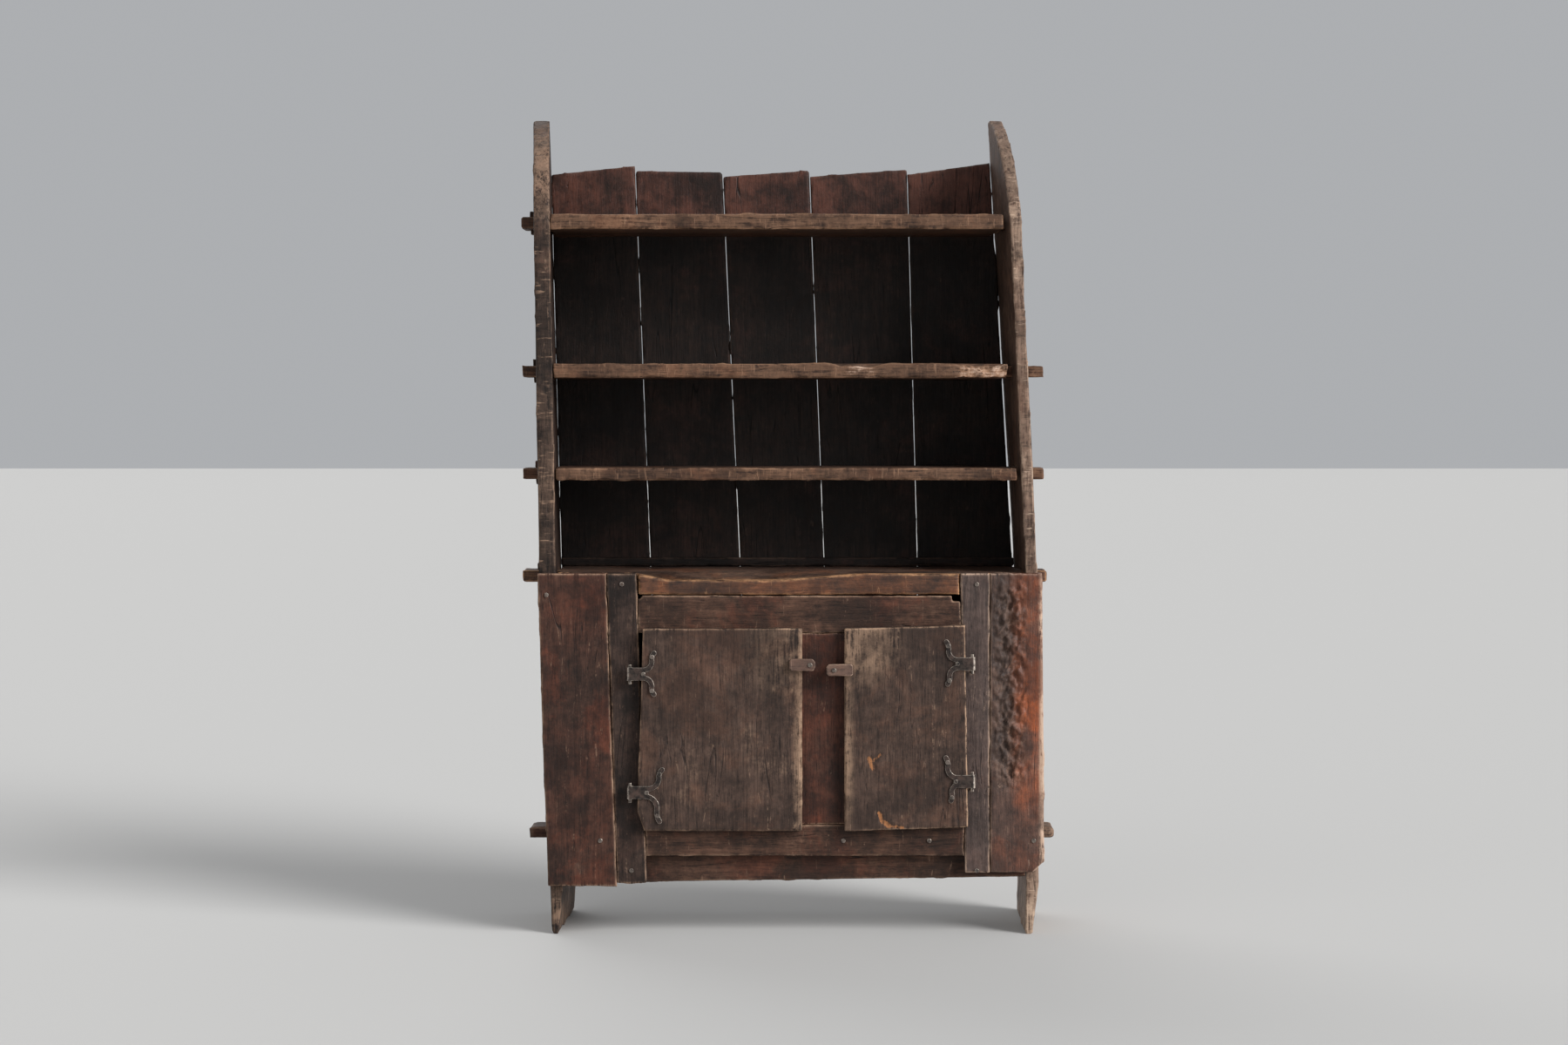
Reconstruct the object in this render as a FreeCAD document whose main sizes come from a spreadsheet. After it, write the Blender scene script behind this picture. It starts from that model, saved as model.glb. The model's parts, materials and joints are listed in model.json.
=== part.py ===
import FreeCAD, Part
import math
import os
from types import SimpleNamespace
import Sketcher

# Rustic plank dresser. Two tall side planks carry three open shelves, a worktop and a cupboard
# floor on wedged through tenons. Boards nailed over the lower front frame two doors that hang
# on iron straps and pintles and are held shut by wooden turn buttons.
# Millimetres. +X is the viewer's right, +Y goes into the depth, +Z is up.
# The origin lies on the floor, midway across the width and the depth.

# Driving dimensions: alias, number, what it measures
driving = [
    ("half_width", 552, "centre to the planks' inner faces, about"),
    ("plank_depth", 320, "front to back of a side plank"),
    ("front_board", 30, "thickness of the boards nailed over the front"),
    ("back_board", 20, "thickness of the back boards"),
    ("ankle_height", 117, "floor to where the front boards end and the feet begin"),
    ("strip_lift", 3, "lower edge of the bottom strip above the ankle"),
    ("strip_height", 89, "height of the bottom strip"),
    ("strip_tilt", 14, "rise of the bottom strip's lower edge to the right"),
    ("strip_thick", 24, "thickness of the bottom strip"),
    ("floor_thick", 30, "thickness of the cupboard floor"),
    ("cupboard_clear", 560, "cupboard floor to the underside of the worktop"),
    ("worktop_thick", 50, "thickness of the worktop"),
    ("lower_bay", 217, "worktop to the lower shelf"),
    ("lower_thick", 30, "thickness of the lower shelf"),
    ("middle_bay", 211, "lower shelf to the middle shelf"),
    ("middle_thick", 34, "thickness of the middle shelf"),
    ("top_bay", 316, "middle shelf to the top shelf"),
    ("top_thick", 36, "thickness of the top shelf"),
    ("crown_rise", 250, "top shelf to the crown of the side planks"),
    ("ear_rise", 265, "height over which the plank's front edge curves back"),
    ("ear_radius", 460, "radius of that curve"),
    ("crown_flat", 30, "flat left at the back of the crown"),
    ("left_sole_lean", -12, "left plank, inner face past the half width at the floor"),
    ("left_sole_thick", 14, "left plank, thickness at the floor"),
    ("left_sole_rack", -13, "left plank, back edge left of the front edge at the floor"),
    ("left_ankle_lean", -24, "left plank, inner face past the half width at the ankle"),
    ("left_ankle_thick", 32, "left plank, thickness at the ankle"),
    ("left_waist_lean", -7, "left plank, inner face past the half width at the worktop"),
    ("left_waist_thick", 40, "left plank, thickness at the worktop"),
    ("left_waist_rack", 13, "left plank, back edge left of the front edge at the worktop"),
    ("left_crown_lean", 11, "left plank, inner face past the half width at the crown"),
    ("left_crown_thick", 40, "left plank, thickness at the crown"),
    ("left_crown_rack", 24, "left plank, back edge left of the front edge at the crown"),
    ("right_sole_lean", 4, "right plank, inner face past the half width at the floor"),
    ("right_sole_thick", 18, "right plank, thickness at the floor"),
    ("right_sole_rack", -8, "right plank, back edge left of the front edge at the floor"),
    ("right_ankle_lean", 8, "right plank, inner face past the half width at the ankle"),
    ("right_ankle_thick", 30, "right plank, thickness at the ankle"),
    ("right_waist_lean", 7, "right plank, inner face past the half width at the worktop"),
    ("right_waist_thick", 27, "right plank, thickness at the worktop"),
    ("right_waist_rack", 3, "right plank, back edge left of the front edge at the worktop"),
    ("right_crown_lean", -44, "right plank, inner face past the half width at the crown"),
    ("right_crown_thick", 32, "right plank, thickness at the crown"),
    ("right_crown_rack", 16, "right plank, back edge left of the front edge at the crown"),
    ("shelf_setback", 3, "shelf front edges behind the planks' front edges"),
    ("top_right_gap", 12, "top shelf, shoulder to the right plank"),
    ("middle_right_gap", 18, "middle shelf, shoulder to the right plank"),
    ("lower_right_gap", 10, "lower shelf, shoulder to the right plank"),
    ("shoulder_gap", 1, "shoulder of a board to the plank beside it"),
    ("tenon_thick", 28, "thickness of every tenon"),
    ("tenon_wide", 90, "front to back of every tenon"),
    ("tenon_fit", 0.5, "play around a tenon, a wedge or a shank"),
    ("top_tenon_rise", 4, "top shelf, tenon above the middle of the board"),
    ("middle_tenon_rise", 0, "middle shelf, tenon above the middle of the board"),
    ("lower_tenon_rise", -1, "lower shelf, tenon above the middle of the board"),
    ("worktop_tenon_rise", 11, "worktop, tenon above the middle of the board"),
    ("floor_tenon_rise", -1, "cupboard floor, tenon above the middle of the board"),
    ("top_left_show", 28, "top shelf, left tenon past the plank"),
    ("middle_left_show", 33.5, "middle shelf, left tenon past the plank"),
    ("lower_left_show", 37, "lower shelf, left tenon past the plank"),
    ("worktop_left_show", 42, "worktop, left tenon past the plank"),
    ("floor_left_show", 55.5, "cupboard floor, left tenon past the plank"),
    ("top_right_show", 14, "top shelf, right tenon past the plank"),
    ("middle_right_show", 49, "middle shelf, right tenon past the plank"),
    ("lower_right_show", 38, "lower shelf, right tenon past the plank"),
    ("worktop_right_show", 34, "worktop, right tenon past the plank"),
    ("floor_right_show", 45, "cupboard floor, right tenon past the plank"),
    ("wedge_thick", 9, "thickness of a wedge at its top"),
    ("wedge_taper", 3, "how much thinner a wedge is at its foot"),
    ("wedge_wide", 26, "front to back of a wedge"),
    ("wedge_proud", 16, "wedge showing above its tenon"),
    ("wedge_below", 12, "wedge showing below its tenon"),
    ("left_panel_width", 161.5, "width of the left front panel"),
    ("left_panel_over", 2, "left front panel past the plank's outer face"),
    ("left_stile_width", 70, "width of the left stile"),
    ("left_stile_lift", 7, "foot of the left stile above the ankle"),
    ("right_panel_top_width", 122, "width of the right front panel at the worktop"),
    ("right_panel_foot_width", 128, "width of the right front panel at the ankle"),
    ("right_panel_over_top", 9, "right front panel past the plank at the worktop"),
    ("right_panel_over_foot", 11, "right front panel past the plank at the ankle"),
    ("right_panel_lift", 32, "foot of the right front panel above the ankle"),
    ("right_panel_round", 26, "rounded outer lower corner of the right front panel"),
    ("right_stile_top_width", 68, "width of the right stile at the worktop"),
    ("right_stile_foot_width", 57, "width of the right stile at the ankle"),
    ("right_stile_lift", 31, "foot of the right stile above the ankle"),
    ("joint_gap", 1, "open joint between neighbouring front boards"),
    ("tongue_gap", 2, "end of the worktop's front edge to a stile"),
    ("rail_gap", 1.5, "upper rail below the worktop"),
    ("upper_rail_height", 87.5, "height of the upper rail"),
    ("left_notch_wide", 10, "notch at the upper rail's left end, across"),
    ("left_notch_deep", 8, "notch at the upper rail's left end, down"),
    ("right_notch_wide", 20, "notch at the upper rail's right end, across"),
    ("right_notch_deep", 13, "notch at the upper rail's right end, down"),
    ("lower_rail_height", 73, "height of the lower rail"),
    ("sill_rise", 22, "lower rail above the cupboard floor"),
    ("rail_tenon_thick", 10, "thickness of the front frame's tenons"),
    ("rail_shoulder", 24, "rail edge to its tenon"),
    ("mid_stile_at", 82.5, "centre of the middle stile"),
    ("mid_stile_show", 98, "width of the middle stile between the doors"),
    ("mid_tenon_wide", 60, "width of the middle stile's tenons"),
    ("door_lap", 12, "door over the frame at top, bottom and free edge"),
    ("left_hinge_lap", 10, "left door over the left stile"),
    ("right_hinge_lap", 11.5, "right door over the right stile"),
    ("door_thick", 24, "thickness of the doors"),
    ("door_gap", 1, "door behind to the frame's face"),
    ("door_round", 5, "rounding of the doors' front edges"),
    ("left_door_clip_wide", 16, "clipped lower corner of the left door, across"),
    ("left_door_clip_high", 46, "clipped lower corner of the left door, up"),
    ("left_door_lean", 13, "left door's hinge edge, further in at its top"),
    ("right_door_lean", 7, "right door's hinge edge, further in at its top"),
    ("right_door_tilt", 8, "rise of the right door's top and foot to the right"),
    ("left_axis_off", 16, "left hinge axis outside the door's edge"),
    ("right_axis_off", 9, "right hinge axis outside the door's edge"),
    ("left_upper_at", 367, "left door's foot to the middle of its upper strap"),
    ("left_lower_at", 91, "left door's foot to the middle of its lower strap"),
    ("right_upper_at", 391, "right door's foot to the middle of its upper strap"),
    ("right_lower_at", 117, "right door's foot to the middle of its lower strap"),
    ("strap_thick", 4, "thickness of the iron straps"),
    ("plate_half", 15, "half height of a strap's plate"),
    ("band_half", 6, "half width of a strap's branches"),
    ("barrel_radius", 7.5, "outside radius of a strap's rolled eye"),
    ("barrel_height", 32, "height of a rolled eye"),
    ("pin_radius", 4, "radius of a pintle's pin and spike"),
    ("pin_play", 0.3, "play around a pintle's pin"),
    ("pin_over", 6, "pin showing above the eye"),
    ("spike_bite", 24, "pintle's spike inside the stile"),
    ("left_upper_plate", 30, "left upper strap, axis to the fork"),
    ("left_upper_rise_out", 56, "left upper strap, upper branch across"),
    ("left_upper_rise_up", 49, "left upper strap, upper branch up"),
    ("left_upper_drop_out", 56, "left upper strap, lower branch across"),
    ("left_upper_drop_down", 47, "left upper strap, lower branch down"),
    ("left_lower_plate", 38, "left lower strap, axis to the fork"),
    ("left_lower_rise_out", 75, "left lower strap, upper branch across"),
    ("left_lower_rise_up", 53, "left lower strap, upper branch up"),
    ("left_lower_drop_out", 69, "left lower strap, lower branch across"),
    ("left_lower_drop_down", 67, "left lower strap, lower branch down"),
    ("right_upper_plate", 34, "right upper strap, axis to the fork"),
    ("right_upper_rise_out", 61, "right upper strap, upper branch across"),
    ("right_upper_rise_up", 51, "right upper strap, upper branch up"),
    ("right_upper_drop_out", 58, "right upper strap, lower branch across"),
    ("right_upper_drop_down", 47, "right upper strap, lower branch down"),
    ("right_lower_plate", 38, "right lower strap, axis to the fork"),
    ("right_lower_rise_out", 62, "right lower strap, upper branch across"),
    ("right_lower_rise_up", 55, "right lower strap, upper branch up"),
    ("right_lower_drop_out", 50, "right lower strap, lower branch across"),
    ("right_lower_drop_down", 45, "right lower strap, lower branch down"),
    ("button_gap", 1.5, "turn button in front of the door"),
    ("button_thick", 12, "thickness of a button's bar"),
    ("button_half", 13.5, "half height of a button's bar"),
    ("button_corner", 5, "clipped corners of a button's bar"),
    ("boss_radius", 12.5, "radius of the boss that a button turns on"),
    ("boss_gap", 0.5, "boss to the middle stile"),
    ("left_button_long", 48, "left button, nail to the end over the door"),
    ("left_button_short", 10, "left button, nail to the other end"),
    ("left_button_in", 18, "left button's nail from the door's edge"),
    ("left_button_drop", 84, "left button's nail below the top of the door"),
    ("right_button_long", 43, "right button, nail to the end over the door"),
    ("right_button_short", 18, "right button, nail to the other end"),
    ("right_button_in", 24, "right button's nail from the door's edge"),
    ("right_button_drop", 96, "right button's nail below the top of the door"),
    ("nail_head_radius", 5.5, "radius of a nail's head"),
    ("nail_head_thick", 3, "thickness of a nail's head"),
    ("nail_radius", 2.2, "radius of a nail's shank"),
    ("nail_play", 0.2, "play around a nail's shank in its hole"),
    ("nail_bite", 28, "nail inside the second board"),
    ("strap_nail_bite", 14, "strap nail inside the door"),
    ("batten_height", 22, "height of the back batten"),
    ("batten_thick", 16, "thickness of the back batten"),
    ("back_gap", 1.5, "gap between neighbouring back boards"),
    ("back_right_gap", 4, "gap between the last back board and the right plank"),
    ("back_right_close", 2, "how much narrower that gap is at the board's top"),
    ("back_rise", 125, "back boards above the top shelf"),
    ("overrun", 5, "how far a cutting shape runs past what it cuts"),
]

# Shares of the inner width where the back boards meet, at the top shelf and at the cupboard floor
back_top_shares = (0.193, 0.391, 0.587, 0.807)
back_foot_shares = (0.201, 0.399, 0.5766, 0.772)
# Left and right top corners of each back board, as shares of the boards' rise
back_rise_shares = ((0.95, 1.12), (1.02, 1.0), (0.91, 1.03), (0.91, 1.05), (0.95, 1.18))
# Nails across each back board, as shares of its width
back_nail_shares = (0.22, 0.78)
# A strap's branch leaves the fork, turns along the door and kicks out at its tip
branch_turn_shares = ((0, 0), (0.62, 0.18), (0.8, 0.56))
branch_tip_shares = ((0.8, 0.56), (0.84, 0.82), (1, 1))
branch_nail_shares = (0.83, 0.78)
plate_nail_share = 1.03
# Nails along the lower rail, as shares of its length
rail_nail_shares = (0.62, 0.89)

doc = FreeCAD.newDocument("PlankDresser")
sheet = doc.addObject("Spreadsheet::Sheet", "Sizes")
for row, (alias, number, note) in enumerate(driving, start=1):
    sheet.set("A%d" % row, note)
    sheet.set("B%d" % row, str(number))
    sheet.setAlias("B%d" % row, alias)
doc.recompute()


# A length that carries its number together with the sheet formula it comes from
class Size:
    def __init__(self, value, text):
        self.value = value
        self.text = text

    def __add__(self, other):
        other = as_size(other)
        return Size(self.value + other.value, "(%s + %s)" % (self.text, other.text))

    def __sub__(self, other):
        other = as_size(other)
        return Size(self.value - other.value, "(%s - %s)" % (self.text, other.text))

    def __mul__(self, other):
        other = as_size(other)
        return Size(self.value * other.value, "(%s * %s)" % (self.text, other.text))

    def __truediv__(self, other):
        other = as_size(other)
        return Size(self.value / other.value, "(%s / %s)" % (self.text, other.text))

    def __neg__(self):
        return Size(-self.value, "(0 - %s)" % self.text)


def as_size(number):
    if isinstance(number, Size):
        return number
    return Size(number, repr(number))


zero = as_size(0)
dim = SimpleNamespace()
for alias, number, note in driving:
    setattr(dim, alias, Size(float(sheet.get(alias)), "Sizes." + alias))


# The named size of one piece, such as the left plank's sole
def of(*words):
    return getattr(dim, "_".join(words))


# A value that runs straight from one level to another
def between(low_value, high_value, low_level, high_level, level):
    return low_value + (high_value - low_value) * (level - low_level) / (high_level - low_level)


# Depths, from the front face to the back
case_depth = dim.front_board + dim.plank_depth
door_reach = dim.door_gap + dim.door_thick
front_reach = door_reach + dim.button_gap + dim.button_thick + dim.nail_head_thick
face_y = (front_reach - case_depth - dim.nail_head_thick) / 2
plank_y = face_y + dim.front_board
back_y = plank_y + dim.plank_depth
board_depth = dim.plank_depth - dim.back_board
board_back_y = plank_y + board_depth
tenon_y = (plank_y + board_back_y) / 2
door_y = face_y - door_reach

# Levels, from the floor up
strip_low = dim.ankle_height + dim.strip_lift
floor_low = strip_low + dim.strip_height
floor_top = floor_low + dim.floor_thick
worktop_low = floor_top + dim.cupboard_clear
worktop_top = worktop_low + dim.worktop_thick
lower_low = worktop_top + dim.lower_bay
lower_top = lower_low + dim.lower_thick
middle_low = lower_top + dim.middle_bay
middle_top = middle_low + dim.middle_thick
top_low = middle_top + dim.top_bay
top_top = top_low + dim.top_thick
crown = top_top + dim.crown_rise
ear_low = crown - dim.ear_rise
upper_rail_top = worktop_low - dim.rail_gap
upper_rail_low = upper_rail_top - dim.upper_rail_height
lower_rail_top = floor_top + dim.sill_rise
lower_rail_low = lower_rail_top - dim.lower_rail_height
door_top = upper_rail_low + dim.door_lap
door_low = lower_rail_top - dim.door_lap
door_middle = (door_top + door_low) / 2


# How far a plank's back edge lies to the left of its front edge at a level
def rack(side, level):
    waist = of(side, "waist", "rack")
    if level.value > worktop_top.value:
        return between(waist, of(side, "crown", "rack"), worktop_top, crown, level)
    return between(of(side, "sole", "rack"), waist, zero, worktop_top, level)


# Distance of a plank's inner or outer face from the centre, at one of its named places
def plank_face(side, place, face):
    inner = dim.half_width + of(side, place, "lean")
    return inner if face == "in" else inner + of(side, place, "thick")


# A plank's face, as a signed place across, at a level and a depth behind the plank's front edge
def plank_x(side, face, level, depth):
    if level.value > worktop_top.value:
        low, high = plank_face(side, "waist", face), plank_face(side, "crown", face)
        flat = between(low, high, worktop_top, crown, level)
    else:
        low, high = plank_face(side, "ankle", face), plank_face(side, "waist", face)
        flat = between(low, high, dim.ankle_height, worktop_top, level)
    front = -flat if side == "left" else flat
    return front - rack(side, level) * depth / dim.plank_depth


# Open joints of the lower front, each a line that leans from the ankle to the worktop
def front_line(top_x, foot_x, level):
    return between(foot_x, top_x, dim.ankle_height, worktop_top, level)


def left_edge(level):
    top = plank_face("left", "waist", "out") + dim.left_panel_over
    foot = plank_face("left", "ankle", "out") + dim.left_panel_over
    return front_line(-top, -foot, level)


def right_edge(level):
    top = plank_face("right", "waist", "out") + dim.right_panel_over_top
    foot = plank_face("right", "ankle", "out") + dim.right_panel_over_foot
    return front_line(top, foot, level)


def left_panel_edge(level):
    return left_edge(level) + dim.left_panel_width


def left_stile_edge(level):
    return left_panel_edge(level) + dim.joint_gap + dim.left_stile_width


def right_panel_edge(level):
    width = front_line(dim.right_panel_top_width, dim.right_panel_foot_width, level)
    return right_edge(level) - width


def right_stile_edge(level):
    width = front_line(dim.right_stile_top_width, dim.right_stile_foot_width, level)
    return right_panel_edge(level) - dim.joint_gap - width


left_door_free = dim.mid_stile_at - dim.mid_stile_show / 2
right_door_free = dim.mid_stile_at + dim.mid_stile_show / 2
left_door_hung = left_stile_edge(door_middle) - dim.left_hinge_lap
right_door_hung = right_stile_edge(door_middle) + dim.right_hinge_lap
axis_x = {"left": left_door_hung - dim.left_axis_off, "right": right_door_hung + dim.right_axis_off}
axis_y = door_y - dim.strap_thick + dim.barrel_radius
strap_z = {
    ("left", "upper"): door_low + dim.left_upper_at,
    ("left", "lower"): door_low + dim.left_lower_at,
    ("right", "upper"): door_low + dim.right_upper_at,
    ("right", "lower"): door_low + dim.right_lower_at,
}
spike_drop = dim.barrel_height / 2 + dim.pin_radius + dim.pin_play
nail_hole = dim.nail_radius + dim.nail_play
button_x = {"left": left_door_free + dim.left_button_in, "right": right_door_free - dim.right_button_in}
button_z = {"left": door_top - dim.left_button_drop, "right": door_top - dim.right_button_drop}


# Bodies, sketches and features

def new_body(label, at_y=zero, at_z=zero, at_x=zero):
    body = doc.addObject("PartDesign::Body", label)
    body.Label = label
    body.setExpression("Placement.Base.x", at_x.text)
    body.setExpression("Placement.Base.y", at_y.text)
    body.setExpression("Placement.Base.z", at_z.text)
    return body


def new_sketch(body, name, plane, lift=zero):
    sketch = body.newObject("Sketcher::SketchObject", body.Label + "_" + name)
    base = [item for item in body.Origin.OriginFeatures if item.Role == plane]
    sketch.AttachmentSupport = [(base[0], "")]
    sketch.MapMode = "FlatFace"
    if lift is not zero:
        sketch.setExpression("AttachmentOffset.Base.z", lift.text)
    return sketch


def pin_point(sketch, edge, end, point):
    for kind, size in zip(("DistanceX", "DistanceY"), point):
        number = sketch.addConstraint(Sketcher.Constraint(kind, -1, 1, edge, end, size.value))
        sketch.setExpression("Constraints[%d]" % number, size.text)


def vector(point):
    return FreeCAD.Vector(point[0].value, point[1].value, 0)


def draw_loop(sketch, points):
    first = sketch.GeometryCount
    count = len(points)
    for index in range(count):
        sketch.addGeometry(Part.LineSegment(vector(points[index]), vector(points[(index + 1) % count])))
    for index in range(count):
        follower = first + (index + 1) % count
        sketch.addConstraint(Sketcher.Constraint("Coincident", first + index, 2, follower, 1))
    for index in range(count):
        pin_point(sketch, first + index, 1, points[index])


def draw_circle(sketch, centre, radius):
    edge = sketch.addGeometry(Part.Circle(vector(centre), FreeCAD.Vector(0, 0, 1), radius.value))
    number = sketch.addConstraint(Sketcher.Constraint("Radius", edge, radius.value))
    sketch.setExpression("Constraints[%d]" % number, radius.text)
    pin_point(sketch, edge, 3, centre)


def box_points(low_x, high_x, low_y, high_y):
    return [(low_x, low_y), (high_x, low_y), (high_x, high_y), (low_x, high_y)]


def pad(body, sketch, length, sides="One side", reverse=False):
    feature = body.newObject("PartDesign::Pad", sketch.Label + "_pad")
    feature.Profile = sketch
    feature.SideType = sides
    feature.Reversed = reverse
    feature.setExpression("Length", length.text)
    return feature


# A cut has to take wood away, so its direction is proved by the volume
def cut(body, sketch, length=None, reverse=False):
    before = body.Tip
    feature = body.newObject("PartDesign::Pocket", sketch.Label + "_cut")
    feature.Profile = sketch
    feature.Reversed = reverse
    if length is None:
        feature.Type = "ThroughAll"
        feature.SideType = "Symmetric"
    else:
        feature.setExpression("Length", length.text)
    doc.recompute()
    if feature.Shape.isNull() or feature.Shape.Volume >= before.Shape.Volume:
        raise ValueError("nothing was cut by " + feature.Label)
    return feature


# Nail, spike and pin holes that run into the depth from a plane in front of the wood
def drill(body, name, places, radius, length=None, lift=zero, reverse=False):
    sketch = new_sketch(body, name, "XZ_Plane", lift)
    for place in places:
        draw_circle(sketch, place, radius)
    return cut(body, sketch, length, reverse)


# A board standing in the front, drawn as seen from the front and made thicker to the back
def front_board_body(label, points, at_y, thickness):
    body = new_body(label, at_y)
    outline = new_sketch(body, "outline", "XZ_Plane")
    draw_loop(outline, points)
    pad(body, outline, thickness, reverse=True)
    return body


# Through boards: name, lower face, thickness, and whether a wedge locks the left tenon
through_boards = [
    ("top_shelf", "top", top_low, dim.top_thick, True),
    ("middle_shelf", "middle", middle_low, dim.middle_thick, True),
    ("lower_shelf", "lower", lower_low, dim.lower_thick, True),
    ("worktop", "worktop", worktop_low, dim.worktop_thick, True),
    ("cupboard_floor", "floor", floor_low, dim.floor_thick, False),
]


def tenon_middle(key, low, thickness):
    return low + thickness / 2 + of(key, "tenon", "rise")


# Side planks

def plank_outline(side, depth):
    levels = [
        ("sole", -dim.overrun),
        ("ankle", dim.ankle_height),
        ("waist", worktop_top),
        ("crown", crown),
    ]
    outer = []
    inner = []
    for place, level in levels:
        shift = rack(side, level) * depth / dim.plank_depth
        out_x = plank_face(side, place, "out")
        in_x = plank_face(side, place, "in")
        outer.append(((-out_x if side == "left" else out_x) - shift, level))
        inner.append(((-in_x if side == "left" else in_x) - shift, level))
    return outer + inner[::-1]


def ear_sketch(body):
    sketch = new_sketch(body, "ear", "YZ_Plane")
    low = (zero, ear_low)
    high = (dim.plank_depth - dim.crown_flat, crown)
    corners = [
        high,
        (high[0], crown + dim.overrun),
        (-dim.overrun, crown + dim.overrun),
        (-dim.overrun, ear_low),
        low,
    ]
    for start, end in zip(corners, corners[1:]):
        sketch.addGeometry(Part.LineSegment(vector(start), vector(end)))
    chord = vector(high) - vector(low)
    across = math.sqrt(dim.ear_radius.value ** 2 - (chord.Length / 2) ** 2)
    normal = FreeCAD.Vector(chord.y, -chord.x, 0).normalize()
    centre = vector(low) + chord / 2 + normal * across
    circle = Part.Circle(centre, FreeCAD.Vector(0, 0, 1), dim.ear_radius.value)
    high_angle = math.atan2(high[1].value - centre.y, high[0].value - centre.x)
    low_angle = math.atan2(low[1].value - centre.y, low[0].value - centre.x)
    arc = sketch.addGeometry(Part.ArcOfCircle(circle, high_angle, low_angle))
    for edge in range(arc - 1):
        sketch.addConstraint(Sketcher.Constraint("Coincident", edge, 2, edge + 1, 1))
    sketch.addConstraint(Sketcher.Constraint("Coincident", arc, 1, 0, 1))
    sketch.addConstraint(Sketcher.Constraint("Coincident", arc, 2, arc - 1, 2))
    for edge, corner in enumerate(corners[:-1]):
        pin_point(sketch, edge, 1, corner)
    pin_point(sketch, arc - 1, 2, low)
    number = sketch.addConstraint(Sketcher.Constraint("Radius", arc, dim.ear_radius.value))
    sketch.setExpression("Constraints[%d]" % number, dim.ear_radius.text)
    return sketch


def side_plank(side, nail_places):
    body = new_body(side + "_side_plank", plank_y)
    front = new_sketch(body, "front", "XZ_Plane")
    draw_loop(front, plank_outline(side, zero))
    back = new_sketch(body, "back", "XZ_Plane", -dim.plank_depth)
    draw_loop(back, plank_outline(side, dim.plank_depth))
    loft = body.newObject("PartDesign::AdditiveLoft", body.Label + "_loft")
    loft.Profile = front
    loft.Sections = [back]
    loft.Ruled = True
    doc.recompute()
    mortises = new_sketch(body, "mortises", "YZ_Plane")
    centre = tenon_y - plank_y
    half_wide = dim.tenon_wide / 2 + dim.tenon_fit
    for label, key, low, thickness, wedged in through_boards:
        seat = tenon_middle(key, low, thickness) - dim.tenon_thick / 2
        roof = seat + dim.tenon_thick + dim.tenon_fit
        draw_loop(mortises, box_points(centre - half_wide, centre + half_wide, seat, roof))
    cut(body, mortises)
    sole = new_sketch(body, "sole", "YZ_Plane")
    behind = dim.plank_depth + dim.overrun
    draw_loop(sole, box_points(-dim.overrun, behind, -dim.overrun * 2, zero))
    cut(body, sole)
    cut(body, ear_sketch(body))
    drill(body, "nail_holes", nail_places, nail_hole, dim.nail_bite)
    return body


# Boards between the planks, with a tenon bar from tip to tip

def through_board(label, key, low, thickness, wedged, outline, back_nails):
    middle = low + thickness / 2
    body = new_body(label, at_z=middle)
    plan = new_sketch(body, "plan", "XY_Plane")
    draw_loop(plan, outline)
    pad(body, plan, thickness, "Symmetric")
    tips = new_sketch(body, "tenons", "XY_Plane", of(key, "tenon", "rise"))
    level = tenon_middle(key, low, thickness)
    left_tip = plank_x("left", "out", level, tenon_y - plank_y) - of(key, "left", "show")
    right_tip = plank_x("right", "out", level, tenon_y - plank_y) + of(key, "right", "show")
    half_wide = dim.tenon_wide / 2
    draw_loop(tips, box_points(left_tip, right_tip, tenon_y - half_wide, tenon_y + half_wide))
    pad(body, tips, dim.tenon_thick, "Symmetric")
    doc.recompute()
    if wedged:
        slot = new_sketch(body, "wedge_slot", "XY_Plane")
        half_slot = dim.wedge_wide / 2 + dim.tenon_fit
        inner = plank_x("left", "out", level, tenon_y - plank_y)
        draw_loop(slot, box_points(
            inner - dim.wedge_thick - dim.tenon_fit * 2, inner + dim.overrun,
            tenon_y - half_slot, tenon_y + half_slot))
        cut(body, slot)
    if back_nails:
        places = [(x, z - middle) for x, z in back_nails]
        drill(body, "back_nail_holes", places, nail_hole, dim.nail_bite, -board_back_y, reverse=True)
    return body


def shelf_outline(key, low, top):
    front = plank_y + dim.shelf_setback
    right_gap = of(key, "right", "gap")
    return [
        (plank_x("left", "in", low, dim.shelf_setback) + dim.shoulder_gap, front),
        (plank_x("right", "in", top, dim.shelf_setback) - right_gap, front),
        (plank_x("right", "in", top, board_depth) - right_gap, board_back_y),
        (plank_x("left", "in", low, board_depth) + dim.shoulder_gap, board_back_y),
    ]


def case_outline(low):
    left_front = plank_x("left", "in", low, zero) + dim.shoulder_gap
    left_back = plank_x("left", "in", low, board_depth) + dim.shoulder_gap
    right_front = plank_x("right", "in", low, zero) - dim.shoulder_gap
    right_back = plank_x("right", "in", low, board_depth) - dim.shoulder_gap
    back = [(right_back, board_back_y), (left_back, board_back_y)]
    return [(left_front, plank_y), (right_front, plank_y)] + back


# The worktop's front edge comes forward between the stiles, flush with their faces
def worktop_outline():
    corners = case_outline(worktop_low)
    tongue_left = left_stile_edge(worktop_low) + dim.tongue_gap
    tongue_right = right_stile_edge(worktop_top) - dim.tongue_gap
    tongue = [(tongue_left, plank_y), (tongue_left, face_y), (tongue_right, face_y), (tongue_right, plank_y)]
    return corners[:1] + tongue + corners[1:]


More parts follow.
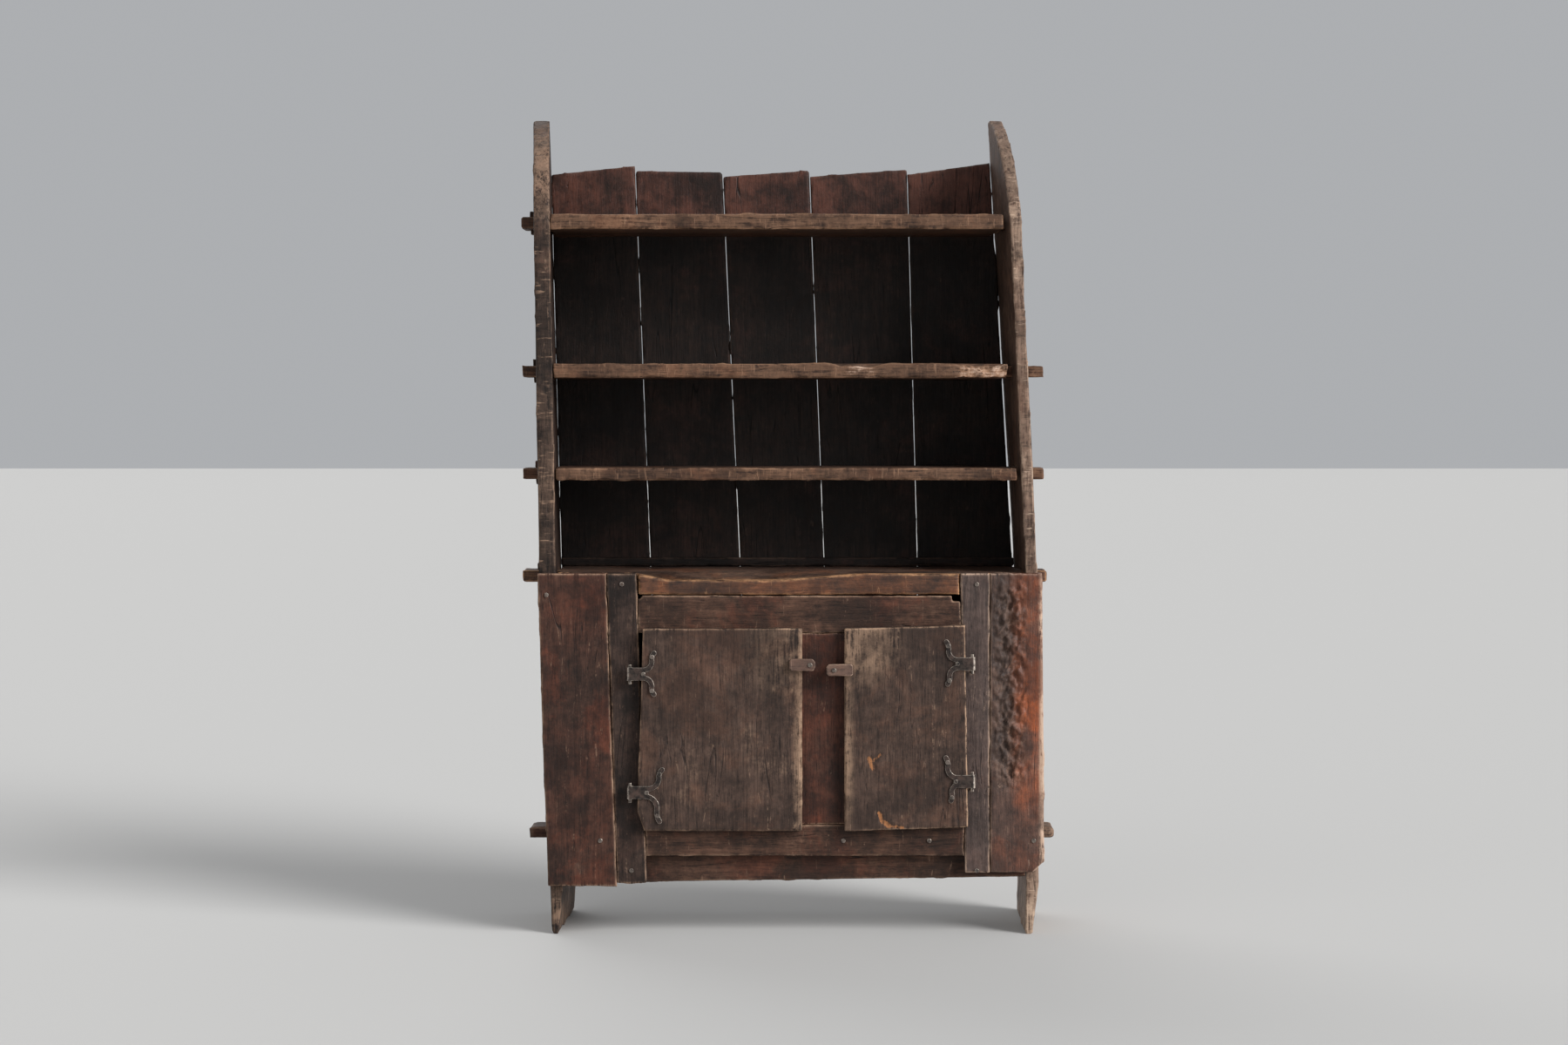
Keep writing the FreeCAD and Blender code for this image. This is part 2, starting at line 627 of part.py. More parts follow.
# Nails through the front boards: place across, level
left_stile_middle = dim.left_stile_width / 2
right_stile_middle = (dim.right_stile_top_width + dim.right_stile_foot_width) / 4
worktop_middle = worktop_low + dim.worktop_thick / 2
floor_middle = floor_low + dim.floor_thick / 2
strip_middle = strip_low + (lower_rail_low - strip_low) / 2
rail_start = left_stile_edge(floor_middle) + dim.joint_gap
rail_length = right_stile_edge(floor_middle) - dim.joint_gap - rail_start
left_plank_middle = -(plank_face("left", "waist", "in") + dim.left_waist_thick / 2)
right_ankle_middle = plank_face("right", "ankle", "in") + dim.right_ankle_thick / 2
front_nails = {
    "left_stile_worktop": (left_stile_edge(worktop_middle) - left_stile_middle, worktop_middle),
    "left_stile_strip": (left_stile_edge(strip_middle) - left_stile_middle, strip_middle),
    "left_panel_floor": (left_panel_edge(floor_middle) - left_stile_middle, floor_middle),
    "left_panel_plank": (left_plank_middle, worktop_low),
    "right_stile_worktop": (right_panel_edge(worktop_middle) - right_stile_middle, worktop_middle),
    "right_stile_strip": (right_panel_edge(strip_middle) - right_stile_middle, strip_middle),
    "right_panel_plank": (right_ankle_middle, floor_middle),
    "lower_rail_floor_1": (rail_start + rail_length * rail_nail_shares[0], floor_middle),
    "lower_rail_floor_2": (rail_start + rail_length * rail_nail_shares[1], floor_middle),
}


def nails_of(*names):
    return [front_nails[name] for name in names]


# Nails through the back boards into the top shelf, the worktop and the cupboard floor

def back_seam(share_index, level):
    def place(shares):
        left = plank_x("left", "in", level, dim.plank_depth)
        right = plank_x("right", "in", level, dim.plank_depth)
        if share_index < 0:
            return left
        if share_index == len(shares):
            return right
        return left + (right - left) * shares[share_index]
    return between(place(back_foot_shares), place(back_top_shares), floor_low, top_top, level)


def back_board_edges(index, level):
    last = len(back_top_shares)
    left_gap = dim.back_gap if index == 0 else dim.back_gap / 2
    right_gap = dim.back_right_gap if index == last else dim.back_gap / 2
    return back_seam(index - 1, level) + left_gap, back_seam(index, level) - right_gap


top_middle = top_low + dim.top_thick / 2
board_count = len(back_top_shares) + 1
carriers = {"top_shelf": top_middle, "worktop": worktop_middle, "cupboard_floor": floor_middle}
back_nails = {}
for label, level in carriers.items():
    for index in range(board_count):
        left, right = back_board_edges(index, level)
        back_nails[(label, index)] = [(left + (right - left) * share, level) for share in back_nail_shares]


def board_back_nails(label):
    found = []
    for index in range(board_count):
        found += back_nails.get((label, index), [])
    return found


side_plank("left", nails_of("left_panel_plank"))
side_plank("right", nails_of("right_panel_plank"))

for label, key, low, thickness, wedged in through_boards:
    if key == "worktop":
        outline = worktop_outline()
    elif key == "floor":
        outline = case_outline(low)
    else:
        outline = shelf_outline(key, low, low + thickness)
    board = through_board(label, key, low, thickness, wedged, outline, board_back_nails(label))
    if key == "worktop":
        places = nails_of("left_stile_worktop", "right_stile_worktop")
    elif key == "floor":
        places = nails_of("left_panel_floor", "lower_rail_floor_1", "lower_rail_floor_2")
    else:
        places = []
    if places:
        flat_places = [(x, z - low - thickness / 2) for x, z in places]
        drill(board, "front_nail_holes", flat_places, nail_hole, dim.nail_bite, -plank_y)

# Back boards, from the cupboard floor's underside to above the top shelf
for index in range(board_count):
    left_share, right_share = back_rise_shares[index]
    left_foot, right_foot = back_board_edges(index, floor_low)
    left_level = top_top + dim.back_rise * left_share
    right_level = top_top + dim.back_rise * right_share
    left_waist, right_waist = back_board_edges(index, worktop_top)
    right_top = back_board_edges(index, right_level)[1]
    if index == board_count - 1:
        right_top = right_top + dim.back_right_close
    points = [
        (left_foot, floor_low),
        (right_foot, floor_low),
        (right_waist, worktop_top),
        (right_top, right_level),
        (back_board_edges(index, left_level)[0], left_level),
        (left_waist, worktop_top),
    ]
    label = "back_board_%d" % (index + 1)
    body = front_board_body(label, points, board_back_y, dim.back_board)
    places = []
    for carrier in carriers:
        places += back_nails[(carrier, index)]
    drill(body, "nail_holes", places, nail_hole)

batten_top = worktop_top + dim.batten_height
batten_left = plank_x("left", "in", worktop_top, board_depth) + dim.shoulder_gap
batten_right = plank_x("right", "in", batten_top, board_depth) - dim.shoulder_gap
batten_points = box_points(batten_left, batten_right, worktop_top, batten_top)
front_board_body("back_batten", batten_points, board_back_y - dim.batten_thick, dim.batten_thick)

# Lower front: two panels, two stiles, two rails, the middle stile and the bottom strip
panel = front_board_body("left_front_panel", [
    (left_edge(dim.ankle_height), dim.ankle_height),
    (left_panel_edge(dim.ankle_height), dim.ankle_height),
    (left_panel_edge(worktop_top), worktop_top),
    (left_edge(worktop_top), worktop_top),
], face_y, dim.front_board)
drill(panel, "nail_holes", nails_of("left_panel_floor", "left_panel_plank"), nail_hole)

right_foot = dim.ankle_height + dim.right_panel_lift
panel = front_board_body("right_front_panel", [
    (right_panel_edge(right_foot), right_foot),
    (right_edge(right_foot) - dim.right_panel_round, right_foot),
    (right_edge(right_foot + dim.right_panel_round), right_foot + dim.right_panel_round),
    (right_edge(worktop_top), worktop_top),
    (right_panel_edge(worktop_top), worktop_top),
], face_y, dim.front_board)
drill(panel, "nail_holes", nails_of("right_panel_plank"), nail_hole)

rail_tenon_y = (dim.front_board - dim.rail_tenon_thick) / 2
rails = {"upper": (upper_rail_low, upper_rail_top), "lower": (lower_rail_low, lower_rail_top)}


# Level span of a rail's tenons and of the mortises that take them
def rail_tenon_span(rail):
    low, high = rails[rail]
    return low + dim.rail_shoulder, high - dim.rail_shoulder


def frame_mortises(body):
    sketch = new_sketch(body, "mortises", "YZ_Plane")
    for rail in rails:
        low, high = rail_tenon_span(rail)
        draw_loop(sketch, box_points(rail_tenon_y, rail_tenon_y + dim.rail_tenon_thick, low, high))
    cut(body, sketch)


def spike_holes(body, side):
    places = [(axis_x[side], strap_z[(side, end)] - spike_drop) for end in ("upper", "lower")]
    drill(body, "spike_holes", places, dim.pin_radius + dim.pin_play, dim.spike_bite)


left_foot = dim.ankle_height + dim.left_stile_lift
stile = front_board_body("left_stile", [
    (left_panel_edge(left_foot) + dim.joint_gap, left_foot),
    (left_stile_edge(left_foot), left_foot),
    (left_stile_edge(worktop_top), worktop_top),
    (left_panel_edge(worktop_top) + dim.joint_gap, worktop_top),
], face_y, dim.front_board)
frame_mortises(stile)
drill(stile, "nail_holes", nails_of("left_stile_worktop", "left_stile_strip"), nail_hole)
spike_holes(stile, "left")

right_foot = dim.ankle_height + dim.right_stile_lift
stile = front_board_body("right_stile", [
    (right_stile_edge(right_foot), right_foot),
    (right_panel_edge(right_foot) - dim.joint_gap, right_foot),
    (right_panel_edge(worktop_top) - dim.joint_gap, worktop_top),
    (right_stile_edge(worktop_top), worktop_top),
], face_y, dim.front_board)
frame_mortises(stile)
drill(stile, "nail_holes", nails_of("right_stile_worktop", "right_stile_strip"), nail_hole)
spike_holes(stile, "right")


# A rail with tenons that run through both stiles to their far edges
def rail_body(rail, points):
    body = front_board_body(rail + "_rail", points, face_y, dim.front_board)
    low, high = rail_tenon_span(rail)
    bar = new_sketch(body, "tenons", "XZ_Plane", -rail_tenon_y)
    draw_loop(bar, [
        (left_panel_edge(low) + dim.joint_gap, low),
        (right_panel_edge(low) - dim.joint_gap, low),
        (right_panel_edge(high) - dim.joint_gap, high),
        (left_panel_edge(high) + dim.joint_gap, high),
    ])
    pad(body, bar, dim.rail_tenon_thick, reverse=True)
    doc.recompute()
    slot = new_sketch(body, "mid_mortise", "XY_Plane")
    half = dim.mid_tenon_wide / 2
    draw_loop(slot, box_points(
        dim.mid_stile_at - half, dim.mid_stile_at + half,
        rail_tenon_y, rail_tenon_y + dim.rail_tenon_thick))
    cut(body, slot)
    return body


def rail_left(level):
    return left_stile_edge(level) + dim.joint_gap / 2


def rail_right(level):
    return right_stile_edge(level) - dim.joint_gap / 2


left_notch = upper_rail_top - dim.left_notch_deep
right_notch = upper_rail_top - dim.right_notch_deep
rail_body("upper", [
    (rail_left(upper_rail_low), upper_rail_low),
    (rail_right(upper_rail_low), upper_rail_low),
    (rail_right(right_notch), right_notch),
    (rail_right(right_notch) - dim.right_notch_wide, right_notch),
    (rail_right(right_notch) - dim.right_notch_wide, upper_rail_top),
    (rail_left(left_notch) + dim.left_notch_wide, upper_rail_top),
    (rail_left(left_notch) + dim.left_notch_wide, left_notch),
    (rail_left(left_notch), left_notch),
])
lower_rail = rail_body("lower", [
    (rail_left(lower_rail_low), lower_rail_low),
    (rail_right(lower_rail_low), lower_rail_low),
    (rail_right(lower_rail_top), lower_rail_top),
    (rail_left(lower_rail_top), lower_rail_top),
])
drill(lower_rail, "nail_holes", nails_of("lower_rail_floor_1", "lower_rail_floor_2"), nail_hole)

mid_left = left_door_free - dim.door_lap
mid_right = right_door_free + dim.door_lap
stile = front_board_body(
    "middle_stile", box_points(mid_left, mid_right, lower_rail_top, upper_rail_low), face_y, dim.front_board)
bar = new_sketch(stile, "tenons", "XZ_Plane", -rail_tenon_y)
half = dim.mid_tenon_wide / 2
draw_loop(bar, box_points(dim.mid_stile_at - half, dim.mid_stile_at + half, lower_rail_low, upper_rail_top))
pad(stile, bar, dim.rail_tenon_thick, reverse=True)
doc.recompute()
button_places = [(button_x[side], button_z[side]) for side in ("left", "right")]
drill(stile, "button_nail_holes", button_places, nail_hole)

strip_left = plank_x("left", "in", strip_low, dim.strip_thick) + dim.shoulder_gap
strip_right = plank_x("right", "in", strip_low, zero) - dim.shoulder_gap
strip_points = [
    (strip_left, strip_low),
    (strip_right, strip_low + dim.strip_tilt),
    (strip_right, floor_low),
    (strip_left, floor_low),
]
strip = front_board_body("bottom_strip", strip_points, plank_y, dim.strip_thick)
drill(strip, "nail_holes", nails_of("left_stile_strip", "right_stile_strip"), nail_hole)


# Straps, pintles and their nails

def strap_nail_places(side, end):
    sign = 1 if side == "left" else -1
    plate = of(side, end, "plate")
    places = [(plate * plate_nail_share, zero)]
    root = dim.plate_half - dim.band_half
    for branch, reach, way in (("rise", "up", 1), ("drop", "down", -1)):
        across = of(side, end, branch, "out") - plate
        along = of(side, end, branch, reach) - root
        share_x, share_z = branch_nail_shares
        places.append((plate + across * share_x, (root + along * share_z) * way))
    return [(axis_x[side] + x * sign, strap_z[(side, end)] + z) for x, z in places]


def door_nail_places(side):
    return strap_nail_places(side, "upper") + strap_nail_places(side, "lower")


def flat_to_front(shape):
    shape.rotate(FreeCAD.Vector(0, 0, 0), FreeCAD.Vector(1, 0, 0), 90)
    return shape


# One branch of a fork: a band of even width along two arcs, from a corner of the plate
def branch_band(start, across, along, way):
    root = dim.plate_half - dim.band_half
    def point(share):
        rise = root + (along - root) * share[1]
        return FreeCAD.Vector((start + across * share[0]).value, rise.value * way, 0)
    arcs = []
    for shares in (branch_turn_shares, branch_tip_shares):
        arcs.append(Part.Arc(*[point(share) for share in shares]).toShape())
    face = Part.Wire(arcs).makeOffset2D(dim.band_half.value, 0, True, False)
    return face.extrude(FreeCAD.Vector(0, 0, dim.strap_thick.value))


def strap_shape(side, end):
    plate = of(side, end, "plate")
    corner = FreeCAD.Vector(0, -dim.plate_half.value, 0)
    long = plate + dim.band_half
    shape = Part.makeBox(long.value, 2 * dim.plate_half.value, dim.strap_thick.value, corner)
    for branch, reach, way in (("rise", "up", 1), ("drop", "down", -1)):
        across = of(side, end, branch, "out") - plate
        along = of(side, end, branch, reach)
        shape = shape.fuse(branch_band(plate, across, along, way))
    shape = flat_to_front(shape)
    shape.translate(FreeCAD.Vector(0, dim.strap_thick.value - dim.barrel_radius.value, 0))
    foot = FreeCAD.Vector(0, 0, -dim.barrel_height.value / 2)
    up = FreeCAD.Vector(0, 0, 1)
    shape = shape.fuse(Part.makeCylinder(dim.barrel_radius.value, dim.barrel_height.value, foot, up))
    bore = dim.pin_radius + dim.pin_play
    tall = 4 * dim.plate_half.value + dim.barrel_height.value
    low = FreeCAD.Vector(0, 0, -tall / 2)
    shape = shape.cut(Part.makeCylinder(bore.value, tall, low, up))
    if side == "right":
        shape = shape.mirror(FreeCAD.Vector(0, 0, 0), FreeCAD.Vector(1, 0, 0))
    centre = (axis_x[side].value, axis_y.value, strap_z[(side, end)].value)
    start = -(dim.barrel_radius + dim.overrun).value
    through = dim.strap_thick.value + 2 * dim.overrun.value
    for x, z in strap_nail_places(side, end):
        front = FreeCAD.Vector(x.value - centre[0], start, z.value - centre[2])
        shape = shape.cut(Part.makeCylinder(nail_hole.value, through, front, FreeCAD.Vector(0, 1, 0)))
    return shape.removeSplitter()


def new_feature(label, shape, place):
    feature = doc.addObject("Part::Feature", label)
    feature.Label = label
    feature.Shape = shape
    feature.Placement = FreeCAD.Placement(place, FreeCAD.Rotation())
    return feature


def pintle_shape():
    drop = dim.barrel_height / 2 + 2 * dim.pin_radius.value + dim.pin_play
    tall = drop + dim.barrel_height / 2 + dim.pin_over
    foot = FreeCAD.Vector(0, 0, -drop.value)
    pin = Part.makeCylinder(dim.pin_radius.value, tall.value, foot, FreeCAD.Vector(0, 0, 1))
    reach = face_y - axis_y + dim.spike_bite
    root = FreeCAD.Vector(0, 0, -spike_drop.value)
    spike = Part.makeCylinder(dim.pin_radius.value, reach.value, root, FreeCAD.Vector(0, 1, 0))
    return pin.fuse(spike).removeSplitter()


# A nail with a flat round head; it points into the depth, or out of it from the back
def nail_shape(x, y, z, bite, way):
    head_centre = FreeCAD.Vector(x.value, y.value, z.value)
    inward = FreeCAD.Vector(0, way, 0)
    head_start = head_centre - inward * dim.nail_head_thick.value
    head = Part.makeCylinder(dim.nail_head_radius.value, dim.nail_head_thick.value, head_start, inward)
    shank = Part.makeCylinder(dim.nail_radius.value, bite.value, head_centre, inward)
    return head.fuse(shank).removeSplitter()


def nail_group(label, places, y, bite, way=1):
    nails = [nail_shape(x, y, z, bite, way) for x, z in places]
    return new_feature(label, Part.Compound(nails), FreeCAD.Vector(0, 0, 0))


for side, end in strap_z:
    place = FreeCAD.Vector(axis_x[side].value, axis_y.value, strap_z[(side, end)].value)
    new_feature("%s_%s_strap" % (side, end), strap_shape(side, end), place)
    new_feature("%s_%s_pintle" % (side, end), pintle_shape(), place)

for side in ("left", "right"):
    strap_face = door_y - dim.strap_thick
    bite = dim.strap_thick + dim.strap_nail_bite
    nail_group(side + "_strap_nails", door_nail_places(side), strap_face, bite)

# Doors, with the front edges rounded

left_outline = [
    (left_door_hung + dim.left_door_clip_wide, door_low),
    (left_door_free, door_low),
    (left_door_free, door_top),
    (left_door_hung + dim.left_door_lean, door_top),
    (left_door_hung, door_low + dim.left_door_clip_high),
]
right_outline = [
    (right_door_free, door_low),
    (right_door_hung, door_low + dim.right_door_tilt),
    (right_door_hung - dim.right_door_lean, door_top + dim.right_door_tilt),
    (right_door_free, door_top),
]
for side, points in (("left", left_outline), ("right", right_outline)):
    body = front_board_body(side + "_door", points, door_y, dim.door_thick)
    doc.recompute()
    base = body.Tip
    front_edges = []
    for number, edge in enumerate(base.Shape.Edges, start=1):
        if max(abs(vertex.Y) for vertex in edge.Vertexes) < dim.door_round.value / 2:
            front_edges.append("Edge%d" % number)
    rounding = body.newObject("PartDesign::Fillet", side + "_door_rounding")
    rounding.Base = (base, front_edges)
    rounding.setExpression("Radius", dim.door_round.text)
    doc.recompute()
    drill(body, "nail_holes", door_nail_places(side), nail_hole, dim.strap_nail_bite)

# Turn buttons: a bar over the door, and a boss that stands on the middle stile
button_y = door_y - dim.button_gap - dim.button_thick
boss_length = face_y - dim.boss_gap - button_y
for side, sign in (("left", -1), ("right", 1)):
    long_end = of(side, "button", "long") * sign
    short_end = of(side, "button", "short") * -sign
    corner = dim.button_corner * sign
    body = new_body(side + "_button", button_y, button_z[side], button_x[side])
    bar = new_sketch(body, "bar", "XZ_Plane")
    draw_loop(bar, [
        (long_end - corner, -dim.button_half),
        (long_end, -dim.button_half + dim.button_corner),
        (long_end, dim.button_half - dim.button_corner),
        (long_end - corner, dim.button_half),
        (short_end + corner, dim.button_half),
        (short_end, dim.button_half - dim.button_corner),
        (short_end, -dim.button_half + dim.button_corner),
        (short_end + corner, -dim.button_half),
    ])
    pad(body, bar, dim.button_thick, reverse=True)
    boss = new_sketch(body, "boss", "XZ_Plane")
    draw_circle(boss, (zero, zero), dim.boss_radius)
    pad(body, boss, boss_length, reverse=True)
    doc.recompute()
    drill(body, "bore", [(zero, zero)], dim.nail_radius + dim.pin_play)

nail_group("button_nails", button_places, button_y, boss_length + dim.boss_gap + dim.nail_bite)
nail_group("front_nails", front_nails.values(), face_y, dim.front_board + dim.nail_bite)
all_back = [place for places in back_nails.values() for place in places]
nail_group("back_nails", all_back, back_y, dim.back_board + dim.nail_bite, way=-1)


# Outermost place of the left plank's twisted face beside a wedge
def wedge_face(level):
    depth = tenon_y - plank_y
    half = dim.wedge_wide / 2
    near = plank_x("left", "out", level, depth - half)
    far = plank_x("left", "out", level, depth + half)
    return min((near, far), key=lambda place: place.value) - dim.tenon_fit


# Wedges: each lies flat against the left plank and thins towards its foot
def wedge_shape(key, low, thickness):
    middle = tenon_middle(key, low, thickness)
    foot = middle - dim.tenon_thick / 2 - dim.wedge_below
    head = middle + dim.tenon_thick / 2 + dim.wedge_proud
    half = dim.wedge_wide / 2
    head_x = wedge_face(head)
    flat = [
        (head_x, head),
        (head_x - dim.wedge_thick, head),
        (head_x - dim.wedge_thick + dim.wedge_taper, foot),
        (wedge_face(foot), foot),
    ]
    start = tenon_y - half
    corners = [FreeCAD.Vector(x.value, start.value, z.value) for x, z in flat]
    face = Part.Face(Part.makePolygon(corners + corners[:1]))
    return face.extrude(FreeCAD.Vector(0, dim.wedge_wide.value, 0))


wedges = []
for label, key, low, thickness, wedged in through_boards:
    if wedged:
        wedges.append(wedge_shape(key, low, thickness))
new_feature("tenon_wedges", Part.Compound(wedges), FreeCAD.Vector(0, 0, 0))

# Every object has to be sound before anything is written
doc.recompute()
for item in doc.Objects:
    if "Invalid" in item.State or "Error" in item.State:
        raise ValueError("failed: " + item.Label)

pieces = []
for item in doc.Objects:
    if item.TypeId == "PartDesign::Body" or item.TypeId == "Part::Feature":
        pieces.append(item)
for item in pieces:
    if item.Shape.isNull() or not item.Shape.isValid():
        raise ValueError("no sound shape: " + item.Label)

os.makedirs("parts", exist_ok=True)
for item in pieces:
    item.Shape.exportStep("parts/%s.step" % item.Label)
    print(item.Label, len(item.Shape.Solids), round(item.Shape.Volume))
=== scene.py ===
import bpy
import json
import numpy as np
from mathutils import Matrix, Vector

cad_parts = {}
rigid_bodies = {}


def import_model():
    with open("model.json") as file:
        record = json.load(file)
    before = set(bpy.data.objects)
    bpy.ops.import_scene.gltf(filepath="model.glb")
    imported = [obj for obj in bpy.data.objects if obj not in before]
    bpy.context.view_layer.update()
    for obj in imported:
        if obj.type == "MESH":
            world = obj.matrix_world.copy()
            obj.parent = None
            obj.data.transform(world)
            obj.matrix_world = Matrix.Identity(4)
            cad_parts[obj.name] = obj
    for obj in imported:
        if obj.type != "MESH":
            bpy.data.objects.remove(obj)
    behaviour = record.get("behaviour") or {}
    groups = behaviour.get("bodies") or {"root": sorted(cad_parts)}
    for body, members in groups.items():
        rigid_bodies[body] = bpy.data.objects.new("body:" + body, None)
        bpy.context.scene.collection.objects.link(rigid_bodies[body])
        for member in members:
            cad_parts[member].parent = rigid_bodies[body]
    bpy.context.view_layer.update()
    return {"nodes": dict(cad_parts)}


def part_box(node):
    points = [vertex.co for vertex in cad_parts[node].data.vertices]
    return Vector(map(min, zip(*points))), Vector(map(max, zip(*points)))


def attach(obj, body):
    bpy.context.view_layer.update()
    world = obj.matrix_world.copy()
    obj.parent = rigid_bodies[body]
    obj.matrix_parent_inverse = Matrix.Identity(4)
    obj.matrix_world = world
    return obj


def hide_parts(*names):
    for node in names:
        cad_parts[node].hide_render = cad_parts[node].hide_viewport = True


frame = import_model()
print("frame loaded")

# Modelling steps: operators on the active piece, and modifiers that are applied at once
modelling = {
    "mergeDistance": 0.00001,
    "groupSteps": 20,               # strengths that a vertex group is filled in
    "edgeLean": 0.25,               # lean of a normal off the axes at which an edge counts in full
    "smoothing": 0.5,
    "seedSpread": (1.0, 0.7, 1.3),  # how far a seed moves a pattern along each axis
}
evenly = (1.0, 1.0, 1.0)
sides = {
    "right": (1.0, 0.0, 0.0),
    "front": (0.0, -1.0, 0.0),
    "rear": (0.0, 1.0, 0.0),
    "top": (0.0, 0.0, 1.0),
}


def activate(piece):
    bpy.ops.object.select_all(action="DESELECT")
    piece.select_set(True)
    bpy.context.view_layer.objects.active = piece


def applyModifier(piece, kind, **values):
    activate(piece)
    modifier = piece.modifiers.new("step", kind)
    for key, value in values.items():
        setattr(modifier, key, value)
    bpy.ops.object.modifier_apply(modifier=modifier.name)


# A copy of a construction node with its loose triangles merged
def copyNode(node, name):
    activate(frame["nodes"][node])
    bpy.ops.object.duplicate()
    piece = bpy.context.view_layer.objects.active
    bpy.ops.object.parent_clear(type="CLEAR_KEEP_TRANSFORM")
    piece.name = name
    piece.data.name = name
    piece.data.materials.clear()
    bpy.ops.object.mode_set(mode="EDIT")
    bpy.ops.mesh.select_all(action="SELECT")
    bpy.ops.mesh.remove_doubles(threshold=modelling["mergeDistance"])
    bpy.ops.object.mode_set(mode="OBJECT")
    return piece


def vertexValues(piece, field):
    found = np.empty(len(piece.data.vertices) * 3)
    piece.data.vertices.foreach_get(field, found)
    return found.reshape(-1, 3)


# Metres from the left, front and lower ends of the node that a piece stands for
def placesOn(piece, node):
    return vertexValues(piece, "co") - np.array(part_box(node)[0])


# Shares from 0 to 1 that say where a piece is worn, marked or pushed
def ramp(values, low, high):
    share = np.clip((values - low) / (high - low), 0.0, 1.0)
    return share * share * (3.0 - 2.0 * share)


def hill(values, middle, reach):
    return 1.0 - ramp(np.abs(values - middle), 0.0, reach)


def band(values, low, high, soft):
    return ramp(values, low - soft, low + soft) * (1.0 - ramp(values, high - soft, high + soft))


def most(*shares):
    return np.maximum.reduce(shares)


# One on the faces turned to a side, fading out as they turn away from it
def turnedTo(piece, side, low=0.5, high=0.9):
    return ramp(vertexValues(piece, "normal") @ np.array(sides[side]), low, high)


def weightGroup(piece, shares):
    group = piece.vertex_groups.new(name="shares")
    last = modelling["groupSteps"]
    steps = np.round(np.clip(shares, 0.0, 1.0) * last).astype(int)
    for step in range(1, last + 1):
        chosen = np.nonzero(steps == step)[0].tolist()
        if chosen:
            group.add(chosen, step / last, "REPLACE")
    return group


def dropGroups(piece):
    activate(piece)
    if piece.vertex_groups:
        bpy.ops.object.vertex_group_remove(all=True)


# Pushes part of a surface along one axis
def dent(piece, axis, depth, shares):
    group = weightGroup(piece, shares)
    values = {"direction": axis, "strength": depth, "mid_level": 0.0, "vertex_group": group.name}
    applyModifier(piece, "DISPLACE", **values)
    dropGroups(piece)


def cloud(size, detail, contrast=1.0, brightness=1.0):
    texture = bpy.data.textures.new("cloud", "CLOUDS")
    texture.noise_scale = size
    texture.noise_depth = detail
    texture.contrast = contrast
    texture.intensity = brightness
    return texture


def facets(size, contrast=1.0):
    texture = bpy.data.textures.new("facets", "VORONOI")
    texture.noise_scale = size
    texture.contrast = contrast
    return texture


# Wears a surface unevenly: it sinks where the texture is darker than level and swells where it is brighter
def erode(piece, depth, texture, seed, stretch=evenly, level=1.0, shares=None):
    bpy.ops.object.select_all(action="DESELECT")
    bpy.ops.object.empty_add(location=[seed * share for share in modelling["seedSpread"]])
    guide = bpy.context.view_layer.objects.active
    guide.scale = stretch
    bpy.context.view_layer.update()
    values = {"texture": texture, "texture_coords": "OBJECT", "texture_coords_object": guide}
    if shares is not None:
        values["vertex_group"] = weightGroup(piece, shares).name
    applyModifier(piece, "DISPLACE", strength=depth, mid_level=level, **values)
    dropGroups(piece)
    bpy.data.textures.remove(texture)
    activate(guide)
    bpy.ops.object.delete()


# A copied node in fine cells with rounded arrises, and shares that are one where two faces met
def finePiece(node, name, shape):
    piece = copyNode(node, name)
    applyModifier(piece, "REMESH", mode="VOXEL", voxel_size=shape["cell"])
    lean = 1.0 - np.abs(vertexValues(piece, "normal")).max(axis=1)
    edges = np.clip(lean / modelling["edgeLean"], 0.0, 1.0)
    applyModifier(piece, "SMOOTH", factor=modelling["smoothing"], iterations=shape["rounding"])
    return piece, edges


# What wears a board: broad waves, grooves along the grain and chips at the arrises
boardWear = {
    "waveSize": 0.16, "waveDetail": 1, "waveStretch": (1.6, 1.6, 1.6), "waveLevel": 0.55,
    "grooveSize": 0.022, "grooveDetail": 3, "grooveLevel": 0.65, "grooveSeed": 3.0,
    "grooveStretch": {"x": (7.0, 1.0, 1.0), "z": (1.0, 1.0, 7.0)},
    "chipSize": 0.04, "chipDetail": 4, "chipContrast": 4.0, "chipBrightness": 1.55, "chipSeed": 7.0,
}


def agedBoard(node, seed, shape):
    wear = boardWear
    piece, edges = finePiece(node, "aged_" + node, shape)
    if shape["waves"] > 0.0:
        waves = cloud(wear["waveSize"], wear["waveDetail"])
        erode(piece, shape["waves"], waves, seed, wear["waveStretch"], wear["waveLevel"])
    grooves = cloud(wear["grooveSize"], wear["grooveDetail"])
    stretch = wear["grooveStretch"][shape["grain"]]
    erode(piece, shape["grooves"], grooves, seed + wear["grooveSeed"], stretch, wear["grooveLevel"])
    chips = cloud(wear["chipSize"], wear["chipDetail"], wear["chipContrast"], wear["chipBrightness"])
    erode(piece, shape["chips"], chips, seed + wear["chipSeed"], shares=edges)
    return piece, edges


def keepShares(piece, name, shares):
    layer = piece.data.attributes.new(name, "FLOAT", "POINT")
    layer.data.foreach_set("value", np.ascontiguousarray(shares, dtype=np.float32))


# Keeps the shares that the materials read, and ties the piece to its body, finish and node
def finishPiece(piece, wear, seed, body, slot, node, material, **marks):
    keepShares(piece, "wear", wear)
    for name, shares in marks.items():
        keepShares(piece, name, shares)
    keepShares(piece, "board", np.full(len(piece.data.vertices), seed))
    piece.data.materials.append(material)
    activate(piece)
    bpy.ops.object.shade_smooth()
    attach(piece, body)
    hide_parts(node)


